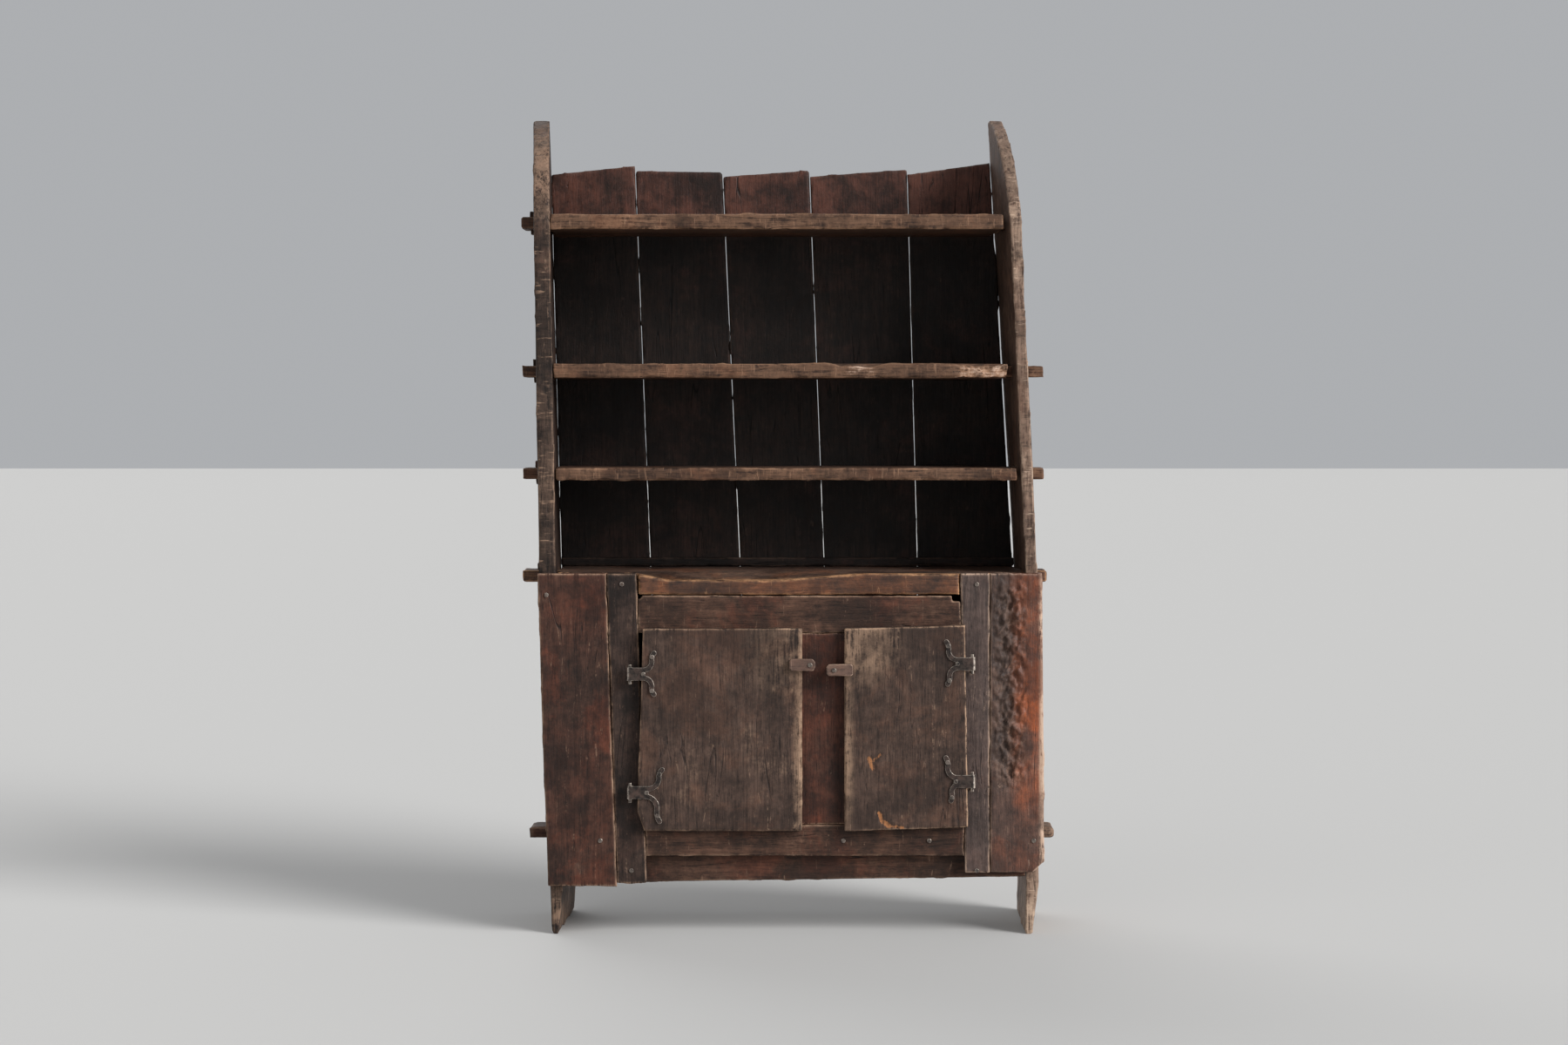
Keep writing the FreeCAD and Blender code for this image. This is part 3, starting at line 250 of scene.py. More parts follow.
# Shader maths: a value wraps a socket, and the graph makes every node
class Value:
    def __init__(self, graph, socket):
        self.graph = graph
        self.socket = socket

    def __add__(self, other):
        return self.graph.maths("ADD", self, other)

    def __radd__(self, other):
        return self.graph.maths("ADD", other, self)

    def __sub__(self, other):
        return self.graph.maths("SUBTRACT", self, other)

    def __rsub__(self, other):
        return self.graph.maths("SUBTRACT", other, self)

    def __mul__(self, other):
        return self.graph.maths("MULTIPLY", self, other)

    def __rmul__(self, other):
        return self.graph.maths("MULTIPLY", other, self)

    def __abs__(self):
        return self.graph.maths("ABSOLUTE", self, 0.0)

    # Zero below low, one above high, smooth between them
    def span(self, low, high):
        inputs = {"Value": self, "From Min": low, "From Max": high}
        return self.graph.node("ShaderNodeMapRange", inputs, interpolation_type="SMOOTHSTEP")

    # A share that never falls below least
    def raised(self, least, full=1.0):
        return self * (full - least) + least

    def clamped(self):
        return self.graph.node("ShaderNodeClamp", {0: self})


class Graph:
    def __init__(self, name):
        self.material = bpy.data.materials.new(name)
        self.material.use_nodes = True
        self.tree = self.material.node_tree
        self.shader = self.tree.nodes["Principled BSDF"]

    def feed(self, socket, value):
        if isinstance(value, Value):
            self.tree.links.new(value.socket, socket)
        else:
            socket.default_value = value

    def node(self, kind, inputs, output=0, **settings):
        made = self.tree.nodes.new(kind)
        for key, value in settings.items():
            setattr(made, key, value)
        for key, value in inputs.items():
            self.feed(made.inputs[key], value)
        return Value(self, made.outputs[output])

    def maths(self, operation, first, second):
        return self.node("ShaderNodeMath", {0: first, 1: second}, operation=operation)

    def blend(self, first, second, share):
        inputs = {0: share, 6: first, 7: second}
        return self.node("ShaderNodeMix", inputs, output=2, data_type="RGBA")

    def noise(self, place, scale, detail, rough, distort):
        inputs = {"Vector": place, "Scale": scale, "Detail": detail, "Roughness": rough}
        return self.node("ShaderNodeTexNoise", dict(inputs, Distortion=distort))

    def attribute(self, name):
        return self.node("ShaderNodeAttribute", {}, output=2, attribute_name=name)

    def mapping(self, place, scale, turn=(0.0, 0.0, 0.0)):
        return self.node("ShaderNodeMapping", {"Vector": place, "Rotation": turn, "Scale": scale})

    def bump(self, height, strength, distance):
        made = self.node("ShaderNodeBump", {"Strength": strength, "Distance": distance, "Height": height})
        self.feed(self.shader.inputs["Normal"], made)


# A colour written as seen on screen, from 0 to 255, and made linear
def tone(red, green, blue):
    def linear(part):
        share = part / 255
        return share / 12.92 if share <= 0.04045 else ((share + 0.055) / 1.055) ** 2.4
    return (linear(red), linear(green), linear(blue), 1.0)


# Wood patterns: the way they lie, then their scale, detail, roughness and distortion
woodPatterns = {
    "fibre": ("along", 230.0, 5.0, 0.7, 0.0),
    "rings": ("along", 40.0, 4.0, 0.6, 1.1),
    "pores": ("along", 620.0, 2.0, 0.5, 0.0),
    "splits": ("along", 24.0, 2.0, 0.4, 0.5),
    "mottle": ("anyWay", 46.0, 7.0, 0.72, 0.0),
    "patches": ("anyWay", 5.5, 9.0, 0.7, 0.0),
    "tint": ("anyWay", 6.5, 9.0, 0.7, 0.4),
    "scratches": ("oblique", 34.0, 2.0, 0.5, 0.0),
    "ticks": ("across", 1.0, 3.0, 0.55, 0.0),
}
woodWays = {
    "along": {"x": (0.07, 1.0, 1.0), "z": (1.0, 1.0, 0.07)},
    "across": {"x": (190.0, 26.0, 26.0), "z": (26.0, 26.0, 150.0)},
    "obliqueScale": (1.0, 1.0, 0.05), "obliqueTurn": (0.3, 0.9, 0.2),
    "seedShift": (3.7, 1.9, 5.1),  # a board's seed moves its patterns, so that no two boards are alike
    "middle": 0.5,  # the level that a pattern varies about
}
# Where each pattern begins to show and where it shows in full
woodFades = {
    "fibre": (0.3, 0.7), "rings": (0.34, 0.68), "mottle": (0.34, 0.66), "pores": (0.56, 0.7),
    "splitLine": (0.0, 0.01), "splitPatch": (0.5, 0.6),
    "scratchLine": (0.0, 0.008), "scratchPatch": (0.5, 0.62),
    "barePatch": (0.4, 0.6), "redPatch": (0.5, 0.62), "warmPatch": (0.36, 0.52), "cleanPatch": (0.42, 0.56),
    "wornStreak": (0.15, 0.6), "rubbedPatch": (0.56, 0.68), "rubbedStreak": (0.4, 0.8),
    "paleTick": (0.6, 0.72), "darkTick": (0.34, 0.44), "torn": (0.2, 0.8), "tornRim": (0.0, 0.2),
    "upward": (0.55, 0.95), "dustPatch": (0.4, 0.6),
}
# How much the patterns and marks count in the colour, the roughness and the relief
woodShares = {
    "streaks": {"fibre": 0.42, "rings": 0.23, "mottle": 0.35},
    "poreShade": 0.3, "bareLeast": 0.7, "bareClean": 0.75, "warmLeast": 0.25, "warmStreak": (0.25, 1.15),
    "wornLeast": 0.3, "darkTicks": 0.7, "paleTicks": 0.6,
    "tornMottle": 2.6, "tornFibre": 2.4, "tornLevel": 0.3, "scarStreak": (0.25, 0.85),
    "rough": 0.66, "wornShine": 0.12, "dustRough": 0.25, "mottleRough": 0.5,
    "relief": {"fibre": 0.5, "rings": 0.5, "mottle": 0.7, "patches": 0.4},
    "splitRelief": 1.1, "poreRelief": 0.2, "tickRelief": 0.4, "reliefHeight": 0.0025,
}


def grainPatterns(graph, grain):
    place = graph.node("ShaderNodeTexCoord", {}, output=3)
    seed = graph.attribute("board")
    shifts = {axis: seed * shift for axis, shift in enumerate(woodWays["seedShift"])}
    shift = graph.node("ShaderNodeCombineXYZ", shifts)
    own = graph.node("ShaderNodeVectorMath", {0: place, 1: shift}, operation="ADD")
    ways = {
        "anyWay": own,
        "along": graph.mapping(own, woodWays["along"][grain]),
        "across": graph.mapping(own, woodWays["across"][grain]),
        "oblique": graph.mapping(own, woodWays["obliqueScale"], woodWays["obliqueTurn"]),
    }
    return {name: graph.noise(ways[way], *values) for name, (way, *values) in woodPatterns.items()}


# Old wood: streaks along the grain, a red undertone, grime, rubbed arrises and the painted highlights that
# the wear shares carry, scars, dust and splits
def oldWood(name, look):
    graph = Graph(name)
    fade = woodFades
    mix = woodShares
    middle = woodWays["middle"]
    pattern = grainPatterns(graph, look["grain"])
    mottle = pattern["mottle"]
    patches = pattern["patches"]
    tint = pattern["tint"]
    ticks = pattern["ticks"]
    bare = graph.attribute("bare")
    scar = graph.attribute("scar")
    nick = graph.attribute("nick")

    # Ground colour: streaks from dark to mid, and raw wood where no finish ever went
    pores = pattern["pores"].span(*fade["pores"])
    streak = sum(pattern[key].span(*fade[key]) * share for key, share in mix["streaks"].items())
    ground = streak - pores * mix["poreShade"]
    unfinished = graph.blend(look["raw"], look["weathered"], ground)
    bareShare = bare * patches.span(*fade["barePatch"]).raised(mix["bareLeast"])
    colour = graph.blend(graph.blend(look["dark"], look["mid"], ground), unfinished, bareShare)

    # Red undertone, then grime in patches
    warm = graph.attribute("warm") * tint.span(*fade["warmPatch"]).raised(mix["warmLeast"])
    warm = warm + tint.span(*fade["redPatch"]) * look["redness"]
    warm = (warm * streak.raised(*mix["warmStreak"])).clamped()
    colour = graph.blend(colour, look["red"], warm)
    clean = patches.span(*fade["cleanPatch"])
    grime = (1.0 - clean) * (1.0 - bare * mix["bareClean"]) * look["grimy"]
    colour = graph.blend(colour, look["grime"], grime)

    # Nicks across the grain, scratches, and pale wood where hands and tools rubbed and where the wear shares
    # carry a painted highlight
    darkTicks = (1.0 - ticks.span(*fade["darkTick"])) * nick * mix["darkTicks"]
    paleTicks = ticks.span(*fade["paleTick"]) * nick
    scratchLine = 1.0 - abs(pattern["scratches"] - middle).span(*fade["scratchLine"])
    scratches = scratchLine * mottle.span(*fade["scratchPatch"]) * look["scratched"]
    wearAndHighlight = graph.attribute("wear") * clean.raised(mix["wornLeast"]) * streak.span(*fade["wornStreak"])
    rubbed = patches.span(*fade["rubbedPatch"]) * streak.span(*fade["rubbedStreak"])
    worn = wearAndHighlight * look["worn"] + rubbed * look["rubbed"] + paleTicks * mix["paleTicks"] + scratches
    worn = worn.clamped()
    colour = graph.blend(graph.blend(colour, look["grime"], darkTicks), look["pale"], worn)

    # Torn wood in the scars, dust on top, dark splits
    ragged = (mottle - middle) * mix["tornMottle"] + (pattern["fibre"] - middle) * mix["tornFibre"]
    torn = (scar + ragged - mix["tornLevel"]).span(*fade["torn"]) * scar.span(*fade["tornRim"])
    colour = graph.blend(colour, look["scar"], torn * streak.raised(*mix["scarStreak"]))
    normal = graph.node("ShaderNodeTexCoord", {}, output=1)
    upward = graph.node("ShaderNodeSeparateXYZ", {0: normal}, output=2).span(*fade["upward"])
    dust = upward * patches.span(*fade["dustPatch"]) * look["dusty"]
    splitLine = 1.0 - abs(pattern["splits"] - middle).span(*fade["splitLine"])
    splits = splitLine * patches.span(*fade["splitPatch"]) * look["splits"]
    colour = graph.blend(graph.blend(colour, look["dust"], dust), look["grime"], splits)
    graph.feed(graph.shader.inputs["Base Color"], colour)

    rough = mix["rough"] - worn * mix["wornShine"] + dust * mix["dustRough"] - warm * look["sheen"]
    graph.feed(graph.shader.inputs["Roughness"], rough + (mottle - middle) * mix["mottleRough"])
    graph.shader.inputs["Specular IOR Level"].default_value = look["polish"]
    relief = sum(pattern[key] * share for key, share in mix["relief"].items())
    relief = relief - splits * mix["splitRelief"] - pores * mix["poreRelief"] + paleTicks * mix["tickRelief"]
    graph.bump(relief, look["relief"], mix["reliefHeight"])
    return graph.material


caseLook = {
    "dark": tone(23, 15, 12), "mid": tone(80, 56, 46), "red": tone(104, 54, 37), "grime": tone(19, 14, 12),
    "pale": tone(158, 128, 106), "dust": tone(88, 76, 67), "scar": tone(178, 118, 72), "redness": 0.55,
    "grimy": 0.6, "worn": 0.8, "rubbed": 0.2, "scratched": 0.35, "dusty": 0.3, "splits": 0.9, "sheen": 0.2,
    "relief": 0.6, "polish": 0.22, "raw": tone(44, 34, 28), "weathered": tone(116, 96, 82),
}
wornLook = dict(caseLook, dark=tone(42, 28, 23), mid=tone(106, 78, 66), red=tone(158, 78, 36), worn=0.9,
                grime=tone(28, 20, 17), pale=tone(186, 156, 134), redness=0.3, rubbed=0.35, sheen=0.3,
                relief=0.8, polish=0.4)
woodLooks = {
    "case": caseLook,
    "stile": dict(caseLook, mid=tone(70, 54, 47), red=tone(74, 48, 38), redness=0.4, grimy=0.75),
    "rail": dict(caseLook, dark=tone(32, 21, 16), mid=tone(96, 68, 54), redness=0.5),
    # Back boards and batten are near black: painted shade of the deep bays
    "back": dict(caseLook, dark=tone(13, 10, 9), mid=tone(48, 36, 31), red=tone(92, 56, 45), worn=0.6,
                 grime=tone(11, 9, 8), pale=tone(96, 76, 64), redness=0.15, rubbed=0.1, scratched=0.2),
    "left": dict(caseLook, dark=tone(26, 19, 16), mid=tone(72, 56, 48), red=tone(80, 52, 41), worn=0.6,
                 redness=0.4),
    # The right plank is lighter than the left: painted light for the side that the light falls on
    "right": dict(caseLook, dark=tone(50, 36, 29), mid=tone(128, 101, 86), red=tone(124, 84, 64),
                  grime=tone(40, 29, 24), pale=tone(186, 160, 138), redness=0.4, grimy=0.45, rubbed=0.4),
    "shelf": dict(caseLook, dark=tone(38, 26, 20), mid=tone(96, 68, 52), red=tone(108, 66, 44), worn=0.8,
                  grime=tone(32, 22, 17), pale=tone(154, 118, 92), redness=0.5, grimy=0.3, rubbed=0.25,
                  sheen=0.14, scar=tone(196, 170, 152)),
    "top": dict(caseLook, dark=tone(34, 21, 15), mid=tone(104, 70, 51), red=tone(130, 76, 44), worn=1.0,
                pale=tone(194, 146, 104), redness=0.6, rubbed=0.25, polish=0.36),
    "worn": wornLook,
    "aged": dict(wornLook, mid=tone(98, 80, 73), red=tone(96, 64, 52), redness=0.25, grimy=0.5),
    "door": dict(caseLook, dark=tone(34, 25, 21), mid=tone(92, 72, 62), red=tone(102, 68, 51), worn=0.85,
                 grime=tone(30, 22, 19), pale=tone(164, 134, 110), redness=0.4, grimy=0.5, rubbed=0.25,
                 sheen=0.12, relief=0.5),
    "peg": dict(caseLook, dark=tone(58, 42, 35), mid=tone(116, 88, 74), red=tone(116, 78, 60), worn=0.8,
                grime=tone(42, 30, 25), pale=tone(190, 158, 136), redness=0.3, grimy=0.25, rubbed=0.2,
                polish=0.45),
}
woods = {}


# A wood is made the first time that a board asks for it
def wood(kind, grain):
    if (kind, grain) not in woods:
        woods[kind, grain] = oldWood("%s_wood_%s" % (kind, grain), dict(woodLooks[kind], grain=grain))
    return woods[kind, grain]


print("wood looks set")

# Side planks, nicked along their front edges and paler at their feet as a painted highlight; the right one is
# hewn in facets towards its ear
sidePlank = {
    "cell": 0.005, "rounding": 1, "grain": "z", "waves": 0.0025, "grooves": 0.0014, "chips": 0.003,
    "soleLift": 0.003,  # lifts what the waves sink below the floor
    "footFade": (0.03, 0.2), "footHighlight": 0.9, "frontWear": 0.15,
}
hewnEar = {
    "heights": (1.15, 1.5), "depths": (0.0258, 0.1058), "wornHeights": (1.3, 1.6), "frontWear": 0.4,
    "facetSize": 0.035, "facetCut": 0.004, "facetStretch": (1.0, 1.0, 1.6), "facetLevel": 0.8,
    "facetSeed": 2.0,
}


def hewPlank(piece, spot, ear):
    hewn = ramp(spot[:, 2], *ear["heights"]) * (1.0 - ramp(spot[:, 1], *ear["depths"]))
    erode(piece, ear["facetCut"], facets(ear["facetSize"]), ear["facetSeed"], ear["facetStretch"],
          ear["facetLevel"], hewn)


for seed, node, kind in ((0.3, "left_side_plank", "left"), (1.1, "right_side_plank", "right")):
    piece, edges = agedBoard(node, seed, sidePlank)
    facing = turnedTo(piece, "front")
    spot = placesOn(piece, node)
    front = np.full(len(spot), sidePlank["frontWear"])
    if kind == "right":
        hewPlank(piece, spot, hewnEar)
        front = front + ramp(spot[:, 2], *hewnEar["wornHeights"]) * hewnEar["frontWear"]
    dent(piece, "Z", sidePlank["soleLift"], -spot[:, 2] / sidePlank["soleLift"])
    # Painted highlight: the lowest part of each plank is paler
    foot = (1.0 - ramp(spot[:, 2], *sidePlank["footFade"])) * sidePlank["footHighlight"]
    wear = most(edges, foot, facing * front)
    finishPiece(piece, wear, seed, "case", "case_wood", node, wood(kind, "z"), nick=facing)
print("side planks aged")

# Open shelves, nicked along their front edges, with a painted highlight at the ends of their right tenons
openShelf = {
    "cell": 0.004, "rounding": 2, "grain": "x", "waves": 0.003, "grooves": 0.0012, "chips": 0.004,
    "frontFade": (0.0018, 0.0228), "frontWear": 0.3, "frontNicks": 0.6, "litTipFade": (1.204, 1.219),
}
# The middle shelf's front is dented in three places (place, reach, depth) and torn towards its right end
tornFront = {
    "dents": ((0.8197, 0.05, -0.010), (0.7647, 0.04, -0.006), (1.0847, 0.06, -0.008)),
    "dentFade": (0.011, 0.034),
    "tornFade": (1.0147, 1.0547), "tornCut": 0.008, "tornSize": 0.02, "tornDetail": 3, "tornContrast": 2.4,
    "tornSeed": 5.0, "tornWear": 1.2, "chippedAt": 0.8047, "chippedReach": 0.06, "scarred": 0.62,
}


def tearFront(piece, spot, front, look):
    upper = ramp(spot[:, 2], *look["dentFade"])
    for middle, reach, depth in look["dents"]:
        dent(piece, "Z", depth, hill(spot[:, 0], middle, reach) * upper * front)
    torn = front * ramp(spot[:, 0], *look["tornFade"])
    splinters = cloud(look["tornSize"], look["tornDetail"], look["tornContrast"])
    erode(piece, look["tornCut"], splinters, look["tornSeed"], shares=torn)
    chipped = hill(spot[:, 0], look["chippedAt"], look["chippedReach"]) * front
    return torn * look["tornWear"], most(torn, chipped) * look["scarred"]


for seed, node in ((2.2, "top_shelf"), (3.4, "middle_shelf"), (4.1, "lower_shelf")):
    piece, edges = agedBoard(node, seed, openShelf)
    spot = placesOn(piece, node)
    front = 1.0 - ramp(spot[:, 1], *openShelf["frontFade"])
    torn = scar = np.zeros(len(spot))
    if node == "middle_shelf":
        torn, scar = tearFront(piece, spot, front, tornFront)
    # Painted highlight on the ends of the right tenons
    wear = most(edges, torn, ramp(spot[:, 0], *openShelf["litTipFade"]), front * openShelf["frontWear"])
    finishPiece(piece, wear, seed, "case", "shelf_wood", node, wood("shelf", "x"),
                nick=front * openShelf["frontNicks"], scar=scar)
print("shelves aged")

# Worktop, worn hollow along its front arris, paler along the front of its top as worn wood and a painted
# highlight, and redder on the edge that shows between the stiles
worktop = {
    "cell": 0.004, "rounding": 3, "grain": "x", "waves": 0.002, "grooves": 0.0015, "chips": 0.003,
    "seed": 5.2,
    "hollowFrom": (0.2624, 0.3724), "hollowTo": (0.5724, 0.8324), "hollowDepths": (-0.0003, 0.1058),
    "hollowHeights": (0.014, 0.048), "hollowDent": -0.016,
    "lipTurn": (0.1, 0.6), "lipFade": (0.0058, 0.0358),
    "tongueFade": (0.0058, 0.0158), "tongueWarm": 0.25, "warmFade": (0.3324, 0.6324), "warmMore": 0.4,
}
piece, edges = agedBoard("worktop", worktop["seed"], worktop)
spot = placesOn(piece, "worktop")
hollow = ramp(spot[:, 0], *worktop["hollowFrom"]) * (1.0 - ramp(spot[:, 0], *worktop["hollowTo"]))
arris = (1.0 - ramp(spot[:, 1], *worktop["hollowDepths"])) * ramp(spot[:, 2], *worktop["hollowHeights"])
dent(piece, "Z", worktop["hollowDent"], hollow * arris)
# Worn arris and painted highlight on the upward faces near the front
wornLitLip = turnedTo(piece, "top", *worktop["lipTurn"]) * (1.0 - ramp(spot[:, 1], *worktop["lipFade"]))
tongue = 1.0 - ramp(spot[:, 1], *worktop["tongueFade"])
redder = worktop["tongueWarm"] + ramp(spot[:, 0], *worktop["warmFade"]) * worktop["warmMore"]
finishPiece(piece, most(edges, wornLitLip), worktop["seed"], "case", "shelf_wood", "worktop", wood("top", "x"),
            warm=tongue * redder)
print("worktop aged")

# Back boards, near black in front as painted shade of the bays: red above the top shelf, unfinished behind;
# the last one has a swollen edge
backBoard = {
    "cell": 0.005, "rounding": 0, "grain": "z", "waves": 0.0, "grooves": 0.0008, "chips": 0.003,
    "firstSeed": 6.9, "seedStep": 0.9, "edgeWearAndHighlight": 0.6, "redFade": (1.431, 1.511),
    "swollenTurn": (0.3, 0.8), "swollenBand": (1.291, 1.411, 0.03), "swollenBy": 0.0036,
}
backBoards = sorted(node for node in frame["nodes"] if node.startswith("back_board_"))
for count, node in enumerate(backBoards):
    seed = backBoard["firstSeed"] + count * backBoard["seedStep"]
    piece, edges = agedBoard(node, seed, backBoard)
    if node == backBoards[-1]:
        outerEdge = turnedTo(piece, "right", *backBoard["swollenTurn"])
        swollen = outerEdge * band(placesOn(piece, node)[:, 2], *backBoard["swollenBand"])
        dent(piece, "X", backBoard["swollenBy"], swollen)
    rear = turnedTo(piece, "rear")
    red = ramp(placesOn(piece, node)[:, 2], *backBoard["redFade"]) * (1.0 - rear)
    finishPiece(piece, edges * backBoard["edgeWearAndHighlight"], seed, "case", "case_wood", node, wood("back", "z"),
                warm=red, bare=rear)
print("back boards aged")

# Batten behind the worktop, dark with the back boards' painted shade, strip below the lower rail, and the
# cupboard's floor with a painted highlight on its right tenon
thinStrip = {"cell": 0.004, "rounding": 2, "grain": "x", "waves": 0.0, "grooves": 0.001, "chips": 0.003}
for seed, node, kind in ((12.2, "back_batten", "back"), (13.1, "bottom_strip", "rail")):
    piece, edges = agedBoard(node, seed, thinStrip)
    finishPiece(piece, edges, seed, "case", "case_wood", node, wood(kind, "x"))
floorBoard = {
    "cell": 0.007, "rounding": 2, "grain": "x", "waves": 0.0015, "grooves": 0.0015, "chips": 0.004,
    "seed": 14.3, "litTipFade": (1.2012, 1.2162),
}
piece, edges = agedBoard("cupboard_floor", floorBoard["seed"], floorBoard)
litTip = ramp(placesOn(piece, "cupboard_floor")[:, 0], *floorBoard["litTipFade"])
finishPiece(piece, most(edges, litTip), floorBoard["seed"], "case", "case_wood", "cupboard_floor",
            wood("case", "x"))
print("strips and floor aged")

# Lower front boards, their arrises paler as wear and a painted highlight; a band is its low end and high end
# above the board's foot, and its softness
frontBoard = {
    "cell": 0.003, "rounding": 2, "waves": 0.0025, "grooves": 0.0012, "chips": 0.003, "edgeWearAndHighlight": 1.6,
}
frontBoards = (
    (15.2, "left_front_panel", "case_wood", "case", "z"),
    (16.4, "left_stile", "case_wood", "stile", "z"),
    (17.3, "right_stile", "worn_wood", "aged", "z"),
    (18.1, "right_front_panel", "worn_wood", "worn", "z"),
    (19.5, "middle_stile", "case_wood", "case", "z"),
    (20.6, "upper_rail", "case_wood", "rail", "x"),
    (21.7, "lower_rail", "case_wood", "rail", "x"),
)
leftPanel = {
    "upperBand": (0.563, 0.783, 0.08), "upperRed": 0.35, "lowerBand": (0.083, 0.383, 0.1), "lowerRed": 0.3,
}
middleStile = {"red": 0.5}
# The right panel has a column of gouges, is rubbed orange beside it, and has a painted highlight along its
# outer edge
rightPanel = {
    "faceFade": (0.0038, 0.0098), "columnAt": 0.046, "columnReach": 0.046, "columnPower": 0.5,
    "columnBand": (0.211, 0.681, 0.04), "columnWear": 0.1,
    "gougeCut": 0.003, "gougeSize": 0.016, "gougeContrast": 1.6, "gougeSeed": 4.0,
    "gougeStretch": (0.8, 1.0, 1.5),
    "hackCut": 0.007, "hackSize": 0.016, "hackDetail": 3, "hackContrast": 5.0, "hackBrightness": 1.3,
    "hackStretch": (1.0, 1.0, 1.5), "hackSeed": 9.0,
    "orangeFade": (0.037, 0.072), "orangeBand": (0.151, 0.711, 0.12),
    "litEdgeFade": (0.111, 0.121), "edgeWearAndHighlight": 0.85,
}


def gougePanel(piece, spot, panel):
    face = 1.0 - ramp(spot[:, 1], *panel["faceFade"])
    across = hill(spot[:, 0], panel["columnAt"], panel["columnReach"]) ** panel["columnPower"]
    column = face * across * band(spot[:, 2], *panel["columnBand"])
    gouges = facets(panel["gougeSize"], panel["gougeContrast"])
    erode(piece, panel["gougeCut"], gouges, panel["gougeSeed"], panel["gougeStretch"], shares=column)
    hacks = cloud(panel["hackSize"], panel["hackDetail"], panel["hackContrast"], panel["hackBrightness"])
    erode(piece, panel["hackCut"], hacks, panel["hackSeed"], panel["hackStretch"], shares=column)
    orange = ramp(spot[:, 0], *panel["orangeFade"]) * band(spot[:, 2], *panel["orangeBand"])
    # Painted highlight along the outer edge
    outerEdge = ramp(spot[:, 0], *panel["litEdgeFade"]) * panel["edgeWearAndHighlight"]
    return orange, most(outerEdge, column * panel["columnWear"])


for seed, node, slot, kind, grain in frontBoards:
    piece, edges = agedBoard(node, seed, dict(frontBoard, grain=grain))
    spot = placesOn(piece, node)
    red = marked = np.zeros(len(spot))
    if node == "right_front_panel":
        red, marked = gougePanel(piece, spot, rightPanel)
    if node == "middle_stile":
        red = np.full(len(spot), middleStile["red"])
    if node == "left_front_panel":
        red = band(spot[:, 2], *leftPanel["upperBand"]) * leftPanel["upperRed"]
        red = red + band(spot[:, 2], *leftPanel["lowerBand"]) * leftPanel["lowerRed"]
    # Arrises paler than their wear alone: rubbed wood and painted highlight
    wear = most(edges, marked) * frontBoard["edgeWearAndHighlight"]
    finishPiece(piece, wear, seed, "case", slot, node, wood(kind, grain), warm=red)
print("front boards aged")

# Doors, rubbed at their free edges and where hands open them, with a painted highlight on their top arrises
# and on the left door's free edge; places are across the door and up from its foot
boardDoor = {
    "cell": 0.003, "rounding": 3, "grain": "z", "waves": 0.002, "grooves": 0.001, "chips": 0.003,
    "freeReach": 0.028, "topHighlightFade": (0.441, 0.471), "hungHighlightFade": None, "highlightShare": 2.2, "insideBare": 0.6,
    "handledFade": (0.35, 1.0), "strokeCore": 0.4, "scarDent": 0.0012, "scars": (),
}
leftDoor = dict(boardDoor, seed=22.4, freeSide=1.0, handledAt=(0.3521, 0.431), handledReach=(0.12, 0.16),
                handledWear=0.4)
# The right door's hung edge has a painted highlight too, and it has two fresh scars: each stroke's start, end
# and width
rightDoor = dict(
    boardDoor, seed=23.8, freeSide=0.0, handledAt=(0.0285, 0.441), handledReach=(0.13, 0.13),
    handledWear=0.6, hungHighlightFade=(0.2585, 0.2785),
    scars=(
        ((0.0585, 0.167), (0.0675, 0.147), 0.010),
        ((0.0605, 0.163), (0.0725, 0.167), 0.007),
        ((0.0725, 0.167), (0.0835, 0.179), 0.005),
        ((0.0815, 0.042), (0.0875, 0.025), 0.007),
        ((0.0875, 0.025), (0.1055, 0.013), 0.008),
        ((0.1055, 0.013), (0.1365, 0.008), 0.005),
    ),
)


def handledPatch(spot, door):
    away = (spot[:, [0, 2]] - np.array(door["handledAt"])) / np.array(door["handledReach"])
    return (1.0 - ramp(np.linalg.norm(away, axis=1), *door["handledFade"])) * door["handledWear"]


# One along a line from start to end, fading out over its width
def stroke(spot, start, end, width, core):
    flat = spot[:, [0, 2]]
    start, end = np.array(start), np.array(end)
    along = np.clip((flat - start) @ (end - start) / np.sum((end - start) ** 2), 0.0, 1.0)
    nearest = start + along[:, None] * (end - start)
    return 1.0 - ramp(np.linalg.norm(flat - nearest, axis=1), width * core, width)


for node, door in (("left_door", leftDoor), ("right_door", rightDoor)):
    piece, edges = agedBoard(node, door["seed"], door)
    spot = placesOn(piece, node)
    outside = turnedTo(piece, "front")
    inside = turnedTo(piece, "rear")
    scar = np.zeros(len(spot))
    for start, end, width in door["scars"]:
        scar = most(scar, stroke(spot, start, end, width, door["strokeCore"]) * outside)
    if door["scars"]:
        dent(piece, "Y", door["scarDent"], scar)
    low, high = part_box(node)
    free = hill(spot[:, 0], (high.x - low.x) * door["freeSide"], door["freeReach"])
    # Painted highlight on the top arrises and, on the right door, the hung edge
    paintedHighlight = ramp(spot[:, 2], *door["topHighlightFade"])
    if door["hungHighlightFade"]:
        paintedHighlight = most(paintedHighlight, ramp(spot[:, 0], *door["hungHighlightFade"]))
    wear = most(edges, free, edges * paintedHighlight * door["highlightShare"], handledPatch(spot, door) * outside)
    finishPiece(piece, wear, door["seed"], node, "door_wood", node, wood("door", "z"),
                scar=scar, bare=inside * door["insideBare"])
print("doors aged")

